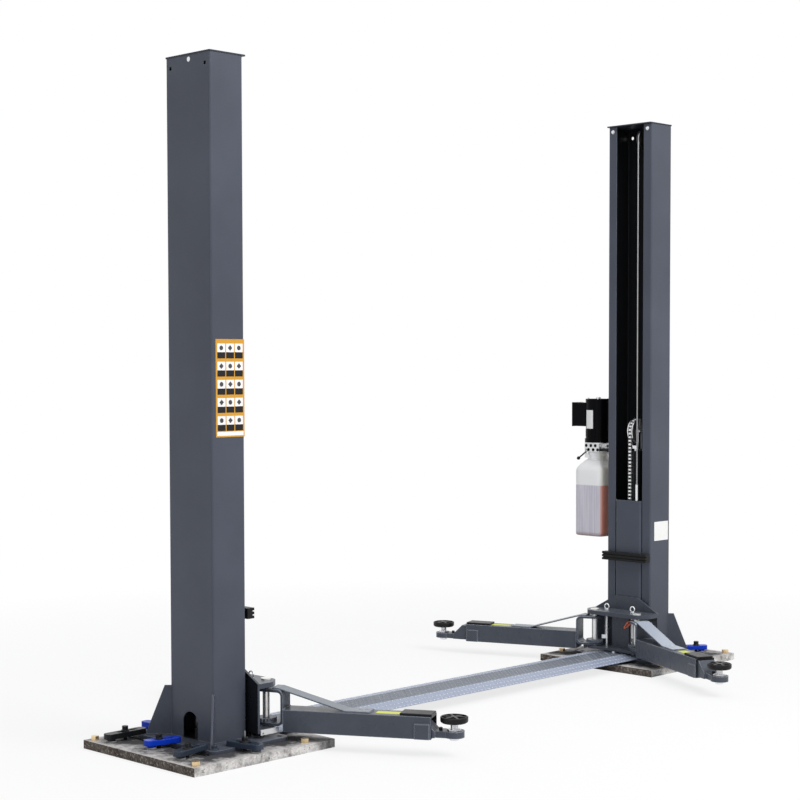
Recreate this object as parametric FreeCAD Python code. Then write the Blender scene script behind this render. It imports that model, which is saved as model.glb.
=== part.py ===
import FreeCAD, Part
import math
import os

V = FreeCAD.Vector

# Frame
# X runs from the left post to the right one, Y away from the viewer, Z up.
# The origin is on the floor, midway between the posts. Sizes are in millimetres.
# The right side is drawn, and the left side is the same turned half a turn about Z.

# Overall sizes
half_span = 1380.0          # middle of the lift to the open face of a column
total_height = 2830.0       # floor to the top of the caps

# Concrete-grey slabs that the posts stand on
slab_thickness = 35.0
slab_inward = 287.0          # these reaches are measured from the open face of the column
slab_outward = 449.0
slab_beyond_base = 118.0     # base plate's side edge to the slab's
slab_bolt_outer = 33.0       # bolts in from the slab's outer end
slab_bolt_inner = 138.0      # and from its inner end
slab_bolt_side = 34.0
slab_bolt_hex = 30.0
slab_bolt_height = 18.0
slab_bolt_hole = 18.0

# Columns
column_depth = 171.0
column_width = 281.0
column_wall = 6.0
column_bend = 9.0
opening_half = 88.0
arch_width = 96.0
arch_height = 112.0
arch_offset = 10.0
top_hole = 18.0
top_hole_y = 110.0
top_hole_drop = 48.0
cap_thickness = 6.0
cap_front = 16.0
cap_edge = 2.0

# Base plates
base_thickness = 15.0
base_inward = 148.0
base_outward = 262.0
base_half_y = 246.0
base_corner = 32.0
anchor_hole = 22.0
anchor_inset = 32.0

# Gussets
gusset_thickness = 8.0
gusset_foot = 105.0
gusset_head = 24.0
gusset_height = 205.0

# Floor cover between the posts
cover_plate = 4.0
cover_top_half = 71.0
cover_foot_half = 166.0
cover_rise = 16.0
cover_end_gap = 96.0
cover_bolt_hole = 14.0

# Lifting carriage
lift_travel = 1740.0
carriage_foot = 72.0
carriage_top = 858.0
carriage_half = 83.0
carriage_wall = 6.0
carriage_bend = 14.0
carriage_proud = 8.0
carriage_back = 140.0
flange_thickness = 8.0
flange_gap = 12.0
flange_half = 126.0
block_height = 120.0
block_clear = 0.3

# Yoke that carries the two arms
yoke_plate = 12.0
yoke_half = 203.0
yoke_neck_half = 72.0
yoke_shoulder_z = 277.0
yoke_peak_z = 350.0
shelf_thickness = 21.0
shelf_foot_z = 256.0
foot_plate_z = 74.0
foot_plate_thickness = 14.0
yoke_reach = 125.0
yoke_chamfer_x = 55.0
yoke_chamfer_y = 42.0
yoke_round = 40.0
stop_plate_length = 96.0     # zinc strips on the side edges of the foot plate
stop_plate_height = 22.0
stop_plate_thickness = 5.0
stop_plate_foot_z = 65.0
stop_plate_hole = 9.0
yoke_box_side = 147.0       # yoke's side edge to the side of its box
yoke_box_depth = 48.0
yoke_box_wall = 8.0

# Rubber stop on the carriage
bumper_foot_z = 539.0
bumper_height = 44.0
bumper_depth = 36.0
bumper_groove = 9.0
bumper_half = 143.0

# Arm pivots
pivot_inward = 110.0
pivot_side = 65.0           # yoke's side edge to the pivot
pin_radius = 15.0
pin_head_radius = 22.0
pin_head_height = 6.0
pin_fit = 0.06

# Arms
arm_foot_z = 71.0
arm_height = 92.0
arm_width = 100.0
arm_wall = 6.0
arm_start = 88.0
arm_end = 714.0
web_thickness = 10.0
web_bend = 25.0             # outer radius where the web turns into the flanges
knuckle_radius = 38.0
lower_flange_z = 93.0
upper_flange_z = 232.0
arm_flange = 12.0
brace_thickness = 6.0
brace_width = 75.0
brace_bend = 350.0
brace_end = 455.0
collar_length = 62.0
collar_height = 62.0
collar_plate = 6.0
sector_thickness = 16.0
sector_radius = 44.0
sector_teeth = 20
sector_tooth = 4.0

# Sliding extensions and pads
extension_clear = 1.5
extension_seat = 0.3
extension_wall = 6.0
extension_length = 540.0
extension_slope_top = 125.0
extension_slope_foot = 72.0
lug_width = 64.0
lug_height = 27.0
eye_radius = 42.0
pad_radius = 57.0
pad_height = 26.0
pad_plate = 8.0
pad_stem = 16.0
pad_stem_fit = 0.08
pad_gap = 32.0
stem_below = 6.0

# Pad distance from the pivot at rest, for each arm
reach_near_left = 800.0
reach_far_left = 905.0
reach_near_right = 851.0
reach_far_right = 865.5

# Arm locks
lock_inward = 75.0
lock_side = 119.0
lock_radius = 7.0
lock_clear = 1.0
lock_top_z = 281.0
lock_foot_gap = 0.5
lock_dog_gap = 5.0
lock_dog_height = 20.0
lock_dog_reach = 26.0
ring_radius = 14.0
ring_wire = 3.0

# Cylinder and chain wheel
cylinder_outward = 72.0
cylinder_radius = 31.5
cylinder_bore = 26.0
cylinder_top = 1118.0
gland_length = 40.0
rod_radius = 18.0
rod_fit = 0.05
piston_length = 40.0
piston_rest = 66.0
wheel_z = 1223.0
wheel_pitch = 60.0
wheel_half = 16.0
wheel_flange = 4.5
wheel_rim = 66.0
chain_width = 20.0
chain_depth = 14.0
fork_plate = 5.0
fork_width = 36.0
axle_radius = 10.0
chain_pin_z = 200.0
chain_pin_radius = 6.0
chain_end_z = 165.0
anchor_half = 14.0
anchor_height = 40.0
anchor_floor = 4.0
anchor_fit = 0.6

# Equalizing ropes
rope_radius = 4.5
rope_y = 44.0
rope_outward = 13.0
sheave_pitch = 48.0
sheave_rim = 54.0
sheave_half = 8.0
sheave_seat = 0.3           # between the rope and the floor of its groove
rope_floor_z = 56.0
sheave_drop = 72.0
hanger_half = 18.0
hanger_plate = 7.0
terminal_radius = 8.5
terminal_bore = 5.0
terminal_length = 92.0
terminal_plate = 14.0
terminal_nut = 11.0
terminal_nut_height = 12.0
lower_terminal_z = 210.0
lower_terminal_length = 58.0

# Power unit on the right column
unit_outward = 107.0
unit_gap = 146.5            # column's side face to the middle of the unit
bracket_plate = 8.0
bracket_half = 50.0
tank_x = 190.0
tank_y = 190.0
tank_foot_z = 662.0
tank_shoulder_z = 1030.0
tank_neck_z = 1060.0
tank_neck_radius = 57.0
tank_corner = 30.0
tank_step = 16.0
tank_slope = 44.0
block_x = 118.0
block_y = 98.0
block_foot_z = 1103.0
block_top_z = 1149.0
motor_radius = 69.0
motor_flange = 5.0
motor_flange_z = 1175.0
motor_top_z = 1389.0
motor_box_width = 92.0
motor_box_reach = 147.0     # middle of the unit to the outer face of the box
motor_box_foot_z = 1240.0
motor_box_height = 128.0
lever_radius = 4.0
lever_length = 80.0
lever_drop = 35.0
lever_rise = 7.0            # above the foot of the pump block
knob_radius = 10.0

# Clamps that hold the base plates down on the slabs
clamp_thickness = 22.0
clamp_width = 46.0
clamp_corner = 17.0
clamp_slot = 18.0
clamp_bolt = 8.0
clamp_washer = 17.0
clamp_washer_height = 4.0
clamp_nut = 24.0
clamp_nut_height = 17.0
heel_radius = 17.0
heel_inset = 30.0

# Worked out once
base_top = slab_thickness + base_thickness
slab_half_y = base_half_y + slab_beyond_base
column_top = total_height - cap_thickness
back_x = half_span + column_depth
front_x = half_span - carriage_proud
slab_inner_x = half_span - slab_inward
slab_outer_x = half_span + slab_outward
base_inner_x = half_span - base_inward
base_outer_x = half_span + base_outward
cover_end_x = half_span - cover_end_gap
pivot_x = half_span - pivot_inward
pivot_y = yoke_half - pivot_side
lock_y = yoke_half - lock_side
yoke_box_half = yoke_half - yoke_box_side
lock_x = half_span - lock_inward
cylinder_x = half_span + cylinder_outward
rope_front_x = half_span + rope_outward
sheave_top_z = column_top - sheave_drop
unit_x = half_span + unit_outward
unit_y = column_width / 2 + unit_gap
cover_top_z = base_top + cover_rise
sheave_x = rope_front_x + sheave_pitch
rope_back_x = sheave_x + sheave_pitch
sheave_foot_z = rope_floor_z + sheave_pitch
arm_top = arm_foot_z + arm_height
extension_foot_z = arm_foot_z + arm_wall + extension_seat
yoke_back = front_x - yoke_plate
yoke_front = yoke_back - yoke_reach

# Rest position of each arm: angle from the inward normal, and pad distance
arm_rest = {
    "near_left": (60.0, reach_near_left),
    "far_left": (60.5, reach_far_left),
    "near_right": (64.1, reach_near_right),
    "far_right": (69.0, reach_far_right),
}


def box(x0, x1, y0, y1, z0, z1):
    return Part.makeBox(x1 - x0, y1 - y0, z1 - z0, V(x0, y0, z0))


def rod(radius, x, y, z0, z1):
    return Part.makeCylinder(radius, z1 - z0, V(x, y, z0))


def rod_y(radius, x, z, y0, y1):
    return Part.makeCylinder(radius, y1 - y0, V(x, y0, z), V(0, 1, 0))


def prism(points, z0, z1):
    """Closed outline in plan, raised from z0 to z1."""
    wire = Part.makePolygon([V(x, y, z0) for x, y in points + points[:1]])
    return Part.Face(wire).extrude(V(0, 0, z1 - z0))


def prism_x(points, x0, x1):
    """Closed outline in the Y-Z plane, carried from x0 to x1."""
    wire = Part.makePolygon([V(x0, y, z) for y, z in points + points[:1]])
    return Part.Face(wire).extrude(V(x1 - x0, 0, 0))


def prism_y(points, y0, y1):
    """Closed outline in the X-Z plane, carried from y0 to y1."""
    wire = Part.makePolygon([V(x, y0, z) for x, z in points + points[:1]])
    return Part.Face(wire).extrude(V(0, y1 - y0, 0))


def revolved_y(outline, x, y, z, degrees, start=0):
    """Outline of (radius, offset along Y) points, turned about the Y axis through (x, y, z)."""
    wire = Part.makePolygon([V(x + r, y + d, z) for r, d in outline + outline[:1]])
    shape = Part.Face(wire).revolve(V(x, y, z), V(0, 1, 0), degrees)
    shape.rotate(V(x, y, z), V(0, 1, 0), start)
    return shape


def octagon(radius, middle=0.0):
    """Eight-sided ring of points round (middle, 0), with flats facing each axis."""
    reach = radius / math.cos(math.pi / 8)
    turns = [math.pi / 8 + math.pi / 4 * i for i in range(8)]
    return [(middle + reach * math.cos(a), reach * math.sin(a)) for a in turns]


def hexagon(x, y, across, z0, z1):
    """Hexagonal prism of the given width across flats."""
    reach = across / math.sqrt(3.0)
    corners = [math.radians(60 * i) for i in range(6)]
    return prism([(x + reach * math.cos(a), y + reach * math.sin(a)) for a in corners], z0, z1)


def round_uprights(shape, radius, keep):
    """Fillet the vertical edges that keep(x, y) picks."""
    edges = []
    for edge in shape.Edges:
        ends = [v.Point for v in edge.Vertexes]
        if len(ends) == 2 and abs(ends[0].x - ends[1].x) < 1e-6 and abs(ends[0].y - ends[1].y) < 1e-6:
            if keep(ends[0].x, ends[0].y):
                edges.append(edge)
    return shape.makeFillet(radius, edges)


def round_corner(shape, radius, x, z):
    """Fillet the edges along Y that stand at one place in the X-Z plane."""
    edges = []
    for edge in shape.Edges:
        if all(abs(v.Point.x - x) < 1e-6 and abs(v.Point.z - z) < 1e-6 for v in edge.Vertexes):
            edges.append(edge)
    return shape.makeFillet(radius, edges)


def fused(shapes):
    return shapes[0].multiFuse(shapes[1:]).removeSplitter()


def half_turn(shape):
    copy = shape.copy()
    copy.rotate(V(0, 0, 0), V(0, 0, 1), 180)
    return copy


def mirrored_y(shape):
    return shape.mirror(V(0, 0, 0), V(0, 1, 0))


def save(name, shapes):
    """Write one piece, or several like solids that do not touch."""
    solids = []
    for shape in shapes if isinstance(shapes, list) else [shapes]:
        solids += shape.Solids
    whole = solids[0] if len(solids) == 1 else Part.makeCompound(solids)
    for solid in solids:
        if not solid.isValid() or solid.Volume <= 0:
            print("bad solid in", name)
    whole.exportStep("parts/" + name + ".step")


def save_pair(name, shapes):
    """Write the right-hand piece and its twin, turned half a turn."""
    shapes = shapes if isinstance(shapes, list) else [shapes]
    save(name + "_right", shapes)
    save(name + "_left", [half_turn(s) for s in shapes])


def save_both(name, shapes):
    """Write the right-hand pieces and their turned twins into one node."""
    shapes = shapes if isinstance(shapes, list) else [shapes]
    save(name, shapes + [half_turn(s) for s in shapes])


# Slabs and their bolts

def slab_bolt_places():
    xs = (slab_inner_x + slab_bolt_inner, slab_outer_x - slab_bolt_outer)
    y = slab_half_y - slab_bolt_side
    return [(x, side * y) for x in xs for side in (-1, 1)]


def slab():
    plate = box(slab_inner_x, slab_outer_x, -slab_half_y, slab_half_y, 0, slab_thickness)
    for x, y in slab_bolt_places():
        plate = plate.cut(rod(slab_bolt_hole / 2, x, y, -1, slab_thickness + 1))
    return plate


def slab_bolts():
    bolts = []
    for x, y in slab_bolt_places():
        head = hexagon(x, y, slab_bolt_hex, slab_thickness, slab_thickness + slab_bolt_height)
        shank = rod(slab_bolt_hole / 2 - 0.3, x, y, 2, slab_thickness)
        bolts.append(fused([head, shank]))
    return bolts


# Columns

def column():
    outer = box(half_span, back_x, -column_width / 2, column_width / 2, base_top, column_top)
    outer = round_uprights(outer, column_bend, lambda x, y: True)
    half = column_width / 2 - column_wall
    inner = box(half_span + column_wall, back_x - column_wall, -half, half, base_top - 1, column_top + 1)
    inner = round_uprights(inner, column_bend - column_wall, lambda x, y: True)
    slot = box(half_span - 1, half_span + column_wall + 1, -opening_half, opening_half,
               base_top - 1, column_top + 1)
    shell = outer.cut(inner).cut(slot)
    arch_y = -arch_offset
    spring = base_top + arch_height - arch_width / 2
    x0 = back_x - column_wall - 1
    arch = box(x0, back_x + 1, arch_y - arch_width / 2, arch_y + arch_width / 2, base_top - 1, spring)
    head = Part.makeCylinder(arch_width / 2, column_wall + 2, V(x0, arch_y, spring), V(1, 0, 0))
    shell = shell.cut(arch.fuse(head))
    for y in (-top_hole_y, top_hole_y):
        place = V(x0, y, total_height - top_hole_drop)
        shell = shell.cut(Part.makeCylinder(top_hole / 2, column_wall + 2, place, V(1, 0, 0)))
    return shell


def column_cap():
    half = column_width / 2 + cap_edge
    plate = box(half_span - cap_front, back_x + cap_edge, -half, half, column_top, total_height)
    return round_uprights(plate, cap_edge * 3, lambda x, y: True)


def base_plate():
    plate = box(base_inner_x, base_outer_x, -base_half_y, base_half_y, slab_thickness, base_top)
    plate = round_uprights(plate, base_corner, lambda x, y: True)
    xs = (base_inner_x + anchor_inset, half_span + column_depth / 2, base_outer_x - anchor_inset)
    for x in xs:
        for side in (-1, 1):
            y = side * (base_half_y - anchor_inset)
            plate = plate.cut(rod(anchor_hole / 2, x, y, slab_thickness - 1, base_top + 1))
    return plate


def gussets():
    """Tapered plates that stand out at 45 degrees from the outer corners."""
    start = -column_bend * (math.sqrt(2) - 1)
    outline = [(start, base_top), (gusset_foot, base_top), (gusset_head, base_top + gusset_height),
               (start, base_top + gusset_height)]
    plate = prism_y(outline, -gusset_thickness / 2, gusset_thickness / 2)
    plate.rotate(V(0, 0, 0), V(0, 0, 1), 45)
    plate.translate(V(back_x, column_width / 2, 0))
    return [plate, mirrored_y(plate)]


# Floor cover

def floor_cover():
    top = cover_top_z
    outer = [(-cover_foot_half, base_top), (-cover_top_half, top), (cover_top_half, top),
             (cover_foot_half, base_top)]
    slope = math.hypot(cover_foot_half - cover_top_half, cover_rise)
    step = cover_plate * slope / cover_rise
    lean = cover_plate * (slope - (cover_foot_half - cover_top_half)) / cover_rise
    inner = [(cover_foot_half - step, base_top), (cover_top_half - lean, top - cover_plate),
             (lean - cover_top_half, top - cover_plate), (step - cover_foot_half, base_top)]
    plate = prism_x(outer + inner, -cover_end_x, cover_end_x)
    for x in (-cover_end_x + 30, cover_end_x - 30):
        plate = plate.cut(rod(cover_bolt_hole / 2, x, 0, top - cover_plate - 1, top + 1))
    return plate


# Carriage

def carriage_slide():
    inside = carriage_half - carriage_wall
    outer = box(front_x, half_span + carriage_back, -carriage_half, carriage_half,
                carriage_foot, carriage_top)
    outer = round_uprights(outer, carriage_bend, lambda x, y: x < half_span)
    inner = box(front_x + carriage_wall, half_span + carriage_back + 1, -inside, inside,
                carriage_foot - 1, carriage_top + 1)
    inner = round_uprights(inner, carriage_bend - carriage_wall, lambda x, y: x < half_span)
    parts = [outer.cut(inner)]
    x0 = half_span + column_wall + flange_gap
    for side in (-1, 1):
        y0, y1 = sorted((side * carriage_half, side * flange_half))
        parts.append(box(x0, x0 + flange_thickness, y0, y1, carriage_foot, carriage_top))
    parts.append(upper_rope_bracket())
    parts.append(lower_rope_bracket())
    parts += chain_cheeks()
    return fused(parts)


def upper_rope_bracket():
    z1 = carriage_top - 6
    plate = box(front_x + carriage_wall, rope_front_x + 19, -(carriage_half - carriage_wall), -28,
                z1 - terminal_plate, z1)
    return plate.cut(rod(terminal_bore + 1, rope_front_x, -rope_y, 0, z1 + 1))


def lower_rope_bracket():
    plate = box(rope_back_x - 15, rope_back_x + 15, rope_y - 8, carriage_half - carriage_wall,
                lower_terminal_z, lower_terminal_z + terminal_plate)
    return plate.cut(rod(terminal_bore + 1, rope_back_x, rope_y, 0, carriage_top))


def chain_cheeks():
    """Two plates with a slot open at the foot, which the chain's end pin lifts against."""
    x = cylinder_x - wheel_pitch
    half = chain_pin_radius + 0.5
    cheeks = []
    for side in (-1, 1):
        y0, y1 = sorted((side * (chain_width / 2 + 1.5), side * (chain_width / 2 + 8)))
        cheek = box(front_x + carriage_wall, x + 14, y0, y1, chain_pin_z - 26, chain_pin_z + 40)
        slot = box(x - half, x + half, y0 - 1, y1 + 1, chain_pin_z - 30, chain_pin_z)
        crown = rod_y(half, x, chain_pin_z, y0 - 1, y1 + 1)
        cheeks.append(cheek.cut(slot.fuse(crown)))
    return cheeks


def slide_blocks():
    x0 = half_span + column_wall + block_clear
    x1 = half_span + column_wall + flange_gap
    blocks = []
    for z0 in (carriage_foot, carriage_top - block_height):
        for side in (-1, 1):
            wall_y = column_width / 2 - column_wall - block_clear
            y0, y1 = sorted((side * (opening_half + 4), side * wall_y))
            block = box(x0, x1, y0, y1, z0, z0 + block_height)
            blocks.append(round_uprights(block, column_bend - column_wall + 1,
                                         lambda x, y: x < x0 + 1 and abs(y) > wall_y - 1))
    return blocks


def rope_terminals():
    """Hollow swaged ends with their nuts, above and below the brackets."""
    z1 = carriage_top - 6
    upper = rod(terminal_radius, rope_front_x, -rope_y, z1, z1 + terminal_length)
    upper_nut = hexagon(rope_front_x, -rope_y, 2 * terminal_nut, z1 - terminal_plate - terminal_nut_height,
                        z1 - terminal_plate)
    z0 = lower_terminal_z
    lower = rod(terminal_radius, rope_back_x, rope_y, z0 - lower_terminal_length, z0)
    top = z0 + terminal_plate
    lower_nut = hexagon(rope_back_x, rope_y, 2 * terminal_nut, top, top + terminal_nut_height)
    upper_hole = rod(terminal_bore, rope_front_x, -rope_y, 0, total_height)
    lower_hole = rod(terminal_bore, rope_back_x, rope_y, 0, total_height)
    uppers = [shape.cut(upper_hole) for shape in (upper, upper_nut)]
    return uppers + [shape.cut(lower_hole) for shape in (lower, lower_nut)]


def yoke_plan(z0, z1):
    outline = [(yoke_back, -yoke_half), (yoke_back, yoke_half),
               (yoke_front + yoke_chamfer_x, yoke_half), (yoke_front, yoke_half - yoke_chamfer_y),
               (yoke_front, -yoke_half + yoke_chamfer_y), (yoke_front + yoke_chamfer_x, -yoke_half)]
    plate = round_uprights(prism(outline, z0, z1), yoke_round, lambda x, y: x < yoke_back - 1)
    for side in (-1, 1):
        plate = plate.cut(rod(pin_radius + pin_fit, pivot_x, side * pivot_y, z0 - 1, z1 + 1))
        plate = plate.cut(rod(lock_radius + lock_clear, lock_x, side * lock_y, z0 - 1, z1 + 1))
    return plate


def yoke():
    outline = [(-yoke_half, carriage_foot), (yoke_half, carriage_foot), (yoke_half, yoke_shoulder_z),
               (yoke_neck_half, yoke_peak_z), (-yoke_neck_half, yoke_peak_z), (-yoke_half, yoke_shoulder_z)]
    back = prism_x(outline, yoke_back, front_x)
    shelf = yoke_plan(shelf_foot_z, shelf_foot_z + shelf_thickness)
    foot = yoke_plan(foot_plate_z, foot_plate_z + foot_plate_thickness)
    x0 = yoke_back - yoke_box_depth
    z0 = foot_plate_z + foot_plate_thickness
    post = box(x0, yoke_back, -yoke_box_half, yoke_box_half, z0, shelf_foot_z)
    inside = yoke_box_half - yoke_box_wall
    post = post.cut(box(x0 + yoke_box_wall, yoke_back + 1, -inside, inside, z0 - 1, shelf_foot_z + 1))
    return fused([back, shelf, foot, post])


def arm_pins():
    pins = []
    top = shelf_foot_z + shelf_thickness
    for side in (-1, 1):
        shank = rod(pin_radius, pivot_x, side * pivot_y, foot_plate_z, top)
        head = rod(pin_head_radius, pivot_x, side * pivot_y, top, top + pin_head_height)
        pins.append(fused([shank, head]))
    return pins


def stop_plates():
    """Strips with a hole at one end, on the two side edges of the foot plate."""
    plates = []
    x1 = yoke_back - 2
    x0 = x1 - stop_plate_length
    z1 = stop_plate_foot_z + stop_plate_height
    for side in (-1, 1):
        y0, y1 = sorted((side * yoke_half, side * (yoke_half + stop_plate_thickness)))
        plate = box(x0, x1, y0, y1, stop_plate_foot_z, z1)
        x, z = x1 - stop_plate_height / 2, stop_plate_foot_z + stop_plate_height * 0.3
        plates.append(plate.cut(rod_y(stop_plate_hole / 2, x, z, y0 - 1, y1 + 1)))
    return plates


def bumper():
    """Rubber stop with three ridges, on the front of the carriage."""
    outline = [(front_x, bumper_foot_z)]
    ridge = bumper_height / 4
    deep, shallow = front_x - bumper_depth, front_x - bumper_depth + bumper_groove
    z = bumper_foot_z
    for rise, x in ((ridge, deep), (ridge / 2, shallow), (ridge, deep), (ridge / 2, shallow), (ridge, deep)):
        outline += [(x, z), (x, z + rise)]
        z += rise
    outline.append((front_x, z))
    return prism_y(outline, -bumper_half, bumper_half)


# Cylinder, wheel and chain

def cylinder():
    barrel = rod(cylinder_radius, cylinder_x, 0, base_top, cylinder_top)
    bore = rod(cylinder_bore, cylinder_x, 0, base_top + 12, cylinder_top - gland_length)
    neck = rod(rod_radius + rod_fit, cylinder_x, 0, base_top + 12, cylinder_top + 1)
    return barrel.cut(bore).cut(neck)


def piston_and_wheel():
    shank = rod(rod_radius, cylinder_x, 0, piston_rest, cylinder_top + 12)
    piston = rod(cylinder_bore - 0.5, cylinder_x, 0, piston_rest, piston_rest + piston_length)
    z0 = cylinder_top + 12
    inner = wheel_half + 1
    outer = inner + fork_plate
    x0 = cylinder_x - fork_width / 2
    x1 = cylinder_x + fork_width / 2
    foot = box(x0, x1, -outer, outer, z0, z0 + 16)
    parts = [shank, piston, foot]
    for side in (-1, 1):
        y0, y1 = sorted((side * inner, side * outer))
        cheek = box(x0, x1, y0, y1, z0 + 16, wheel_z)
        parts.append(cheek.fuse(rod_y(fork_width / 2, cylinder_x, wheel_z, y0, y1)))
    parts.append(rod_y(axle_radius, cylinder_x, wheel_z, -outer - 3, outer + 3))
    return fused(parts)


def chain_wheel():
    hub = rod_y(wheel_pitch - chain_depth / 2, cylinder_x, wheel_z, -wheel_half, wheel_half)
    sides = [rod_y(wheel_rim, cylinder_x, wheel_z, -wheel_half, -wheel_half + wheel_flange),
             rod_y(wheel_rim, cylinder_x, wheel_z, wheel_half - wheel_flange, wheel_half)]
    bore = rod_y(axle_radius, cylinder_x, wheel_z, -wheel_half - 1, wheel_half + 1)
    return fused([hub] + sides).cut(bore)


def chain():
    half = chain_width / 2
    outer_r = wheel_pitch + chain_depth / 2
    inner_r = wheel_pitch - chain_depth / 2
    ring = rod_y(outer_r, cylinder_x, wheel_z, -half, half).cut(
        rod_y(inner_r, cylinder_x, wheel_z, -half - 1, half + 1))
    upper = ring.common(box(cylinder_x - 2 * outer_r, cylinder_x + 2 * outer_r, -half, half,
                            wheel_z, wheel_z + 2 * outer_r))
    x_front = cylinder_x - wheel_pitch
    x_back = cylinder_x + wheel_pitch
    d = chain_depth / 2
    front = box(x_front - d, x_front + d, -half, half, chain_pin_z - 8, wheel_z)
    back = box(x_back - d, x_back + d, -half, half, chain_end_z, wheel_z)
    pin = rod_y(chain_pin_radius, x_front, chain_pin_z, -half - 8, half + 8)
    anchor = rod(chain_pin_radius, x_back, 0, base_top + anchor_floor + 2, chain_end_z)
    return fused([upper, front, back, pin, anchor])


def chain_anchor():
    x = cylinder_x + wheel_pitch
    half = anchor_half
    block = box(x - half, x + half, -half, half, base_top, base_top + anchor_height)
    return block.cut(rod(chain_pin_radius + anchor_fit, x, 0, base_top + anchor_floor, chain_end_z))


# Ropes and their sheaves

def sheave(y, z):
    """Wheel with a V groove, revolved about its axle."""
    floor = sheave_pitch - rope_radius - sheave_seat
    half = rope_radius * 0.95
    outline = [(0, -sheave_half), (sheave_rim, -sheave_half), (sheave_rim, 1 - sheave_half), (floor, -half),
               (floor, half), (sheave_rim, sheave_half - 1), (sheave_rim, sheave_half), (0, sheave_half)]
    return revolved_y(outline, sheave_x, y, z, 360)


def sheaves():
    """Top sheave of one rope and foot sheaves of both, each with its axle and hanger."""
    parts = []
    for y, z in ((-rope_y, sheave_top_z), (-rope_y, sheave_foot_z), (rope_y, sheave_foot_z)):
        parts.append(fused([sheave(y, z), rod_y(axle_radius, sheave_x, z, *axle_span(y))]))
    return parts


def axle_span(y):
    inner = y - math.copysign(sheave_half + 2, y)
    outer = y + math.copysign(sheave_half + 3 + hanger_plate, y)
    return min(inner, outer), max(inner, outer)


def sheave_hangers():
    hangers = []
    half = hanger_half
    for y, z, z0, z1 in ((-rope_y, sheave_top_z, sheave_top_z - half, column_top),
                         (-rope_y, sheave_foot_z, base_top, sheave_foot_z + half),
                         (rope_y, sheave_foot_z, base_top, sheave_foot_z + half)):
        near = y + math.copysign(sheave_half + 3, y)
        y0, y1 = sorted((near, near + math.copysign(hanger_plate, y)))
        plate = box(sheave_x - half, sheave_x + half, y0, y1, z0, z1)
        hangers.append(plate.cut(rod_y(axle_radius, sheave_x, z, y0 - 1, y1 + 1)))
    return hangers


def rope_upright(x, y, z0, z1):
    return prism([(x + a, y + b) for a, b in octagon(rope_radius)], z0, z1)


def rope():
    """Right carriage, over the top sheave, down, across the floor and up to the left carriage."""
    y = -rope_y
    ring = octagon(rope_radius, sheave_pitch)
    floor = prism_x([(y + a, rope_floor_z + b) for a, b in octagon(rope_radius)], -sheave_x, sheave_x)
    return fused([
        rope_upright(rope_front_x, y, carriage_top - 6 - terminal_plate, sheave_top_z),
        revolved_y(ring, sheave_x, y, sheave_top_z, 180, 180),
        rope_upright(rope_back_x, y, sheave_foot_z, sheave_top_z),
        revolved_y(ring, sheave_x, y, sheave_foot_z, 90, 0),
        floor,
        revolved_y(ring, -sheave_x, y, sheave_foot_z, 90, 90),
        rope_upright(-rope_back_x, y, sheave_foot_z, lower_terminal_z + terminal_plate),
    ])


# Arms, extensions and pads, drawn along +X from the pivot and then turned

def arm():
    half = arm_width / 2
    tube = box(arm_start, arm_end, -half, half, arm_foot_z, arm_top)
    hollow = box(arm_start + arm_wall, arm_end + 1, -half + arm_wall, half - arm_wall,
                 arm_foot_z + arm_wall, arm_top - arm_wall)
    parts = [tube.cut(hollow), knuckle(), brace(), sector()]
    x0 = arm_end - collar_length - collar_plate
    for side in (-1, 1):
        y0, y1 = sorted((side * half, side * (half + collar_plate)))
        parts.append(box(x0, x0 + collar_length, y0, y1, arm_foot_z, arm_foot_z + collar_height))
    whole = fused(parts)
    return whole.cut(rod(pin_radius + pin_fit, 0, 0, arm_foot_z, total_height))


def knuckle():
    """Bar bent to a C, whose ends go round the pin above and below and whose web carries the tube."""
    half = arm_width / 2
    top = upper_flange_z + arm_flange
    shape = prism([(0, -knuckle_radius), (arm_start, -half), (arm_start, half), (0, knuckle_radius)],
                  lower_flange_z, top)
    shape = round_corner(shape, web_bend, arm_start, lower_flange_z)
    shape = round_corner(shape, web_bend, arm_start, top)
    x1 = arm_start - web_thickness
    window = box(-knuckle_radius - 1, x1, -half - 1, half + 1, lower_flange_z + arm_flange, upper_flange_z)
    for z in (lower_flange_z + arm_flange, upper_flange_z):
        window = round_corner(window, web_bend - web_thickness, x1, z)
    shape = shape.fuse(rod(knuckle_radius, 0, 0, lower_flange_z, top))
    return shape.cut(window)


def brace():
    """Bent strap from the top of the knuckle, over its corner and down to the tube."""
    t = brace_thickness
    top = upper_flange_z + arm_flange
    x0 = knuckle_radius
    x1 = arm_start - web_bend * 0.86
    outline = [(x0, top), (x1, top), (brace_bend, arm_top), (brace_end, arm_top),
               (brace_end, arm_top + t), (brace_bend, arm_top + t), (x1, top + t), (x0, top + t)]
    return prism_y(outline, -brace_width / 2, brace_width / 2)


def sector():
    """Toothed wheel that the lock's dog drops into."""
    points = []
    for i in range(sector_teeth):
        for part, radius in ((0.0, sector_radius - sector_tooth), (0.25, sector_radius - sector_tooth),
                             (0.45, sector_radius), (0.8, sector_radius)):
            a = 2 * math.pi * (i + part) / sector_teeth
            points.append((radius * math.cos(a), radius * math.sin(a)))
    z0 = lower_flange_z + arm_flange
    return prism(points, z0, z0 + sector_thickness)


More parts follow.
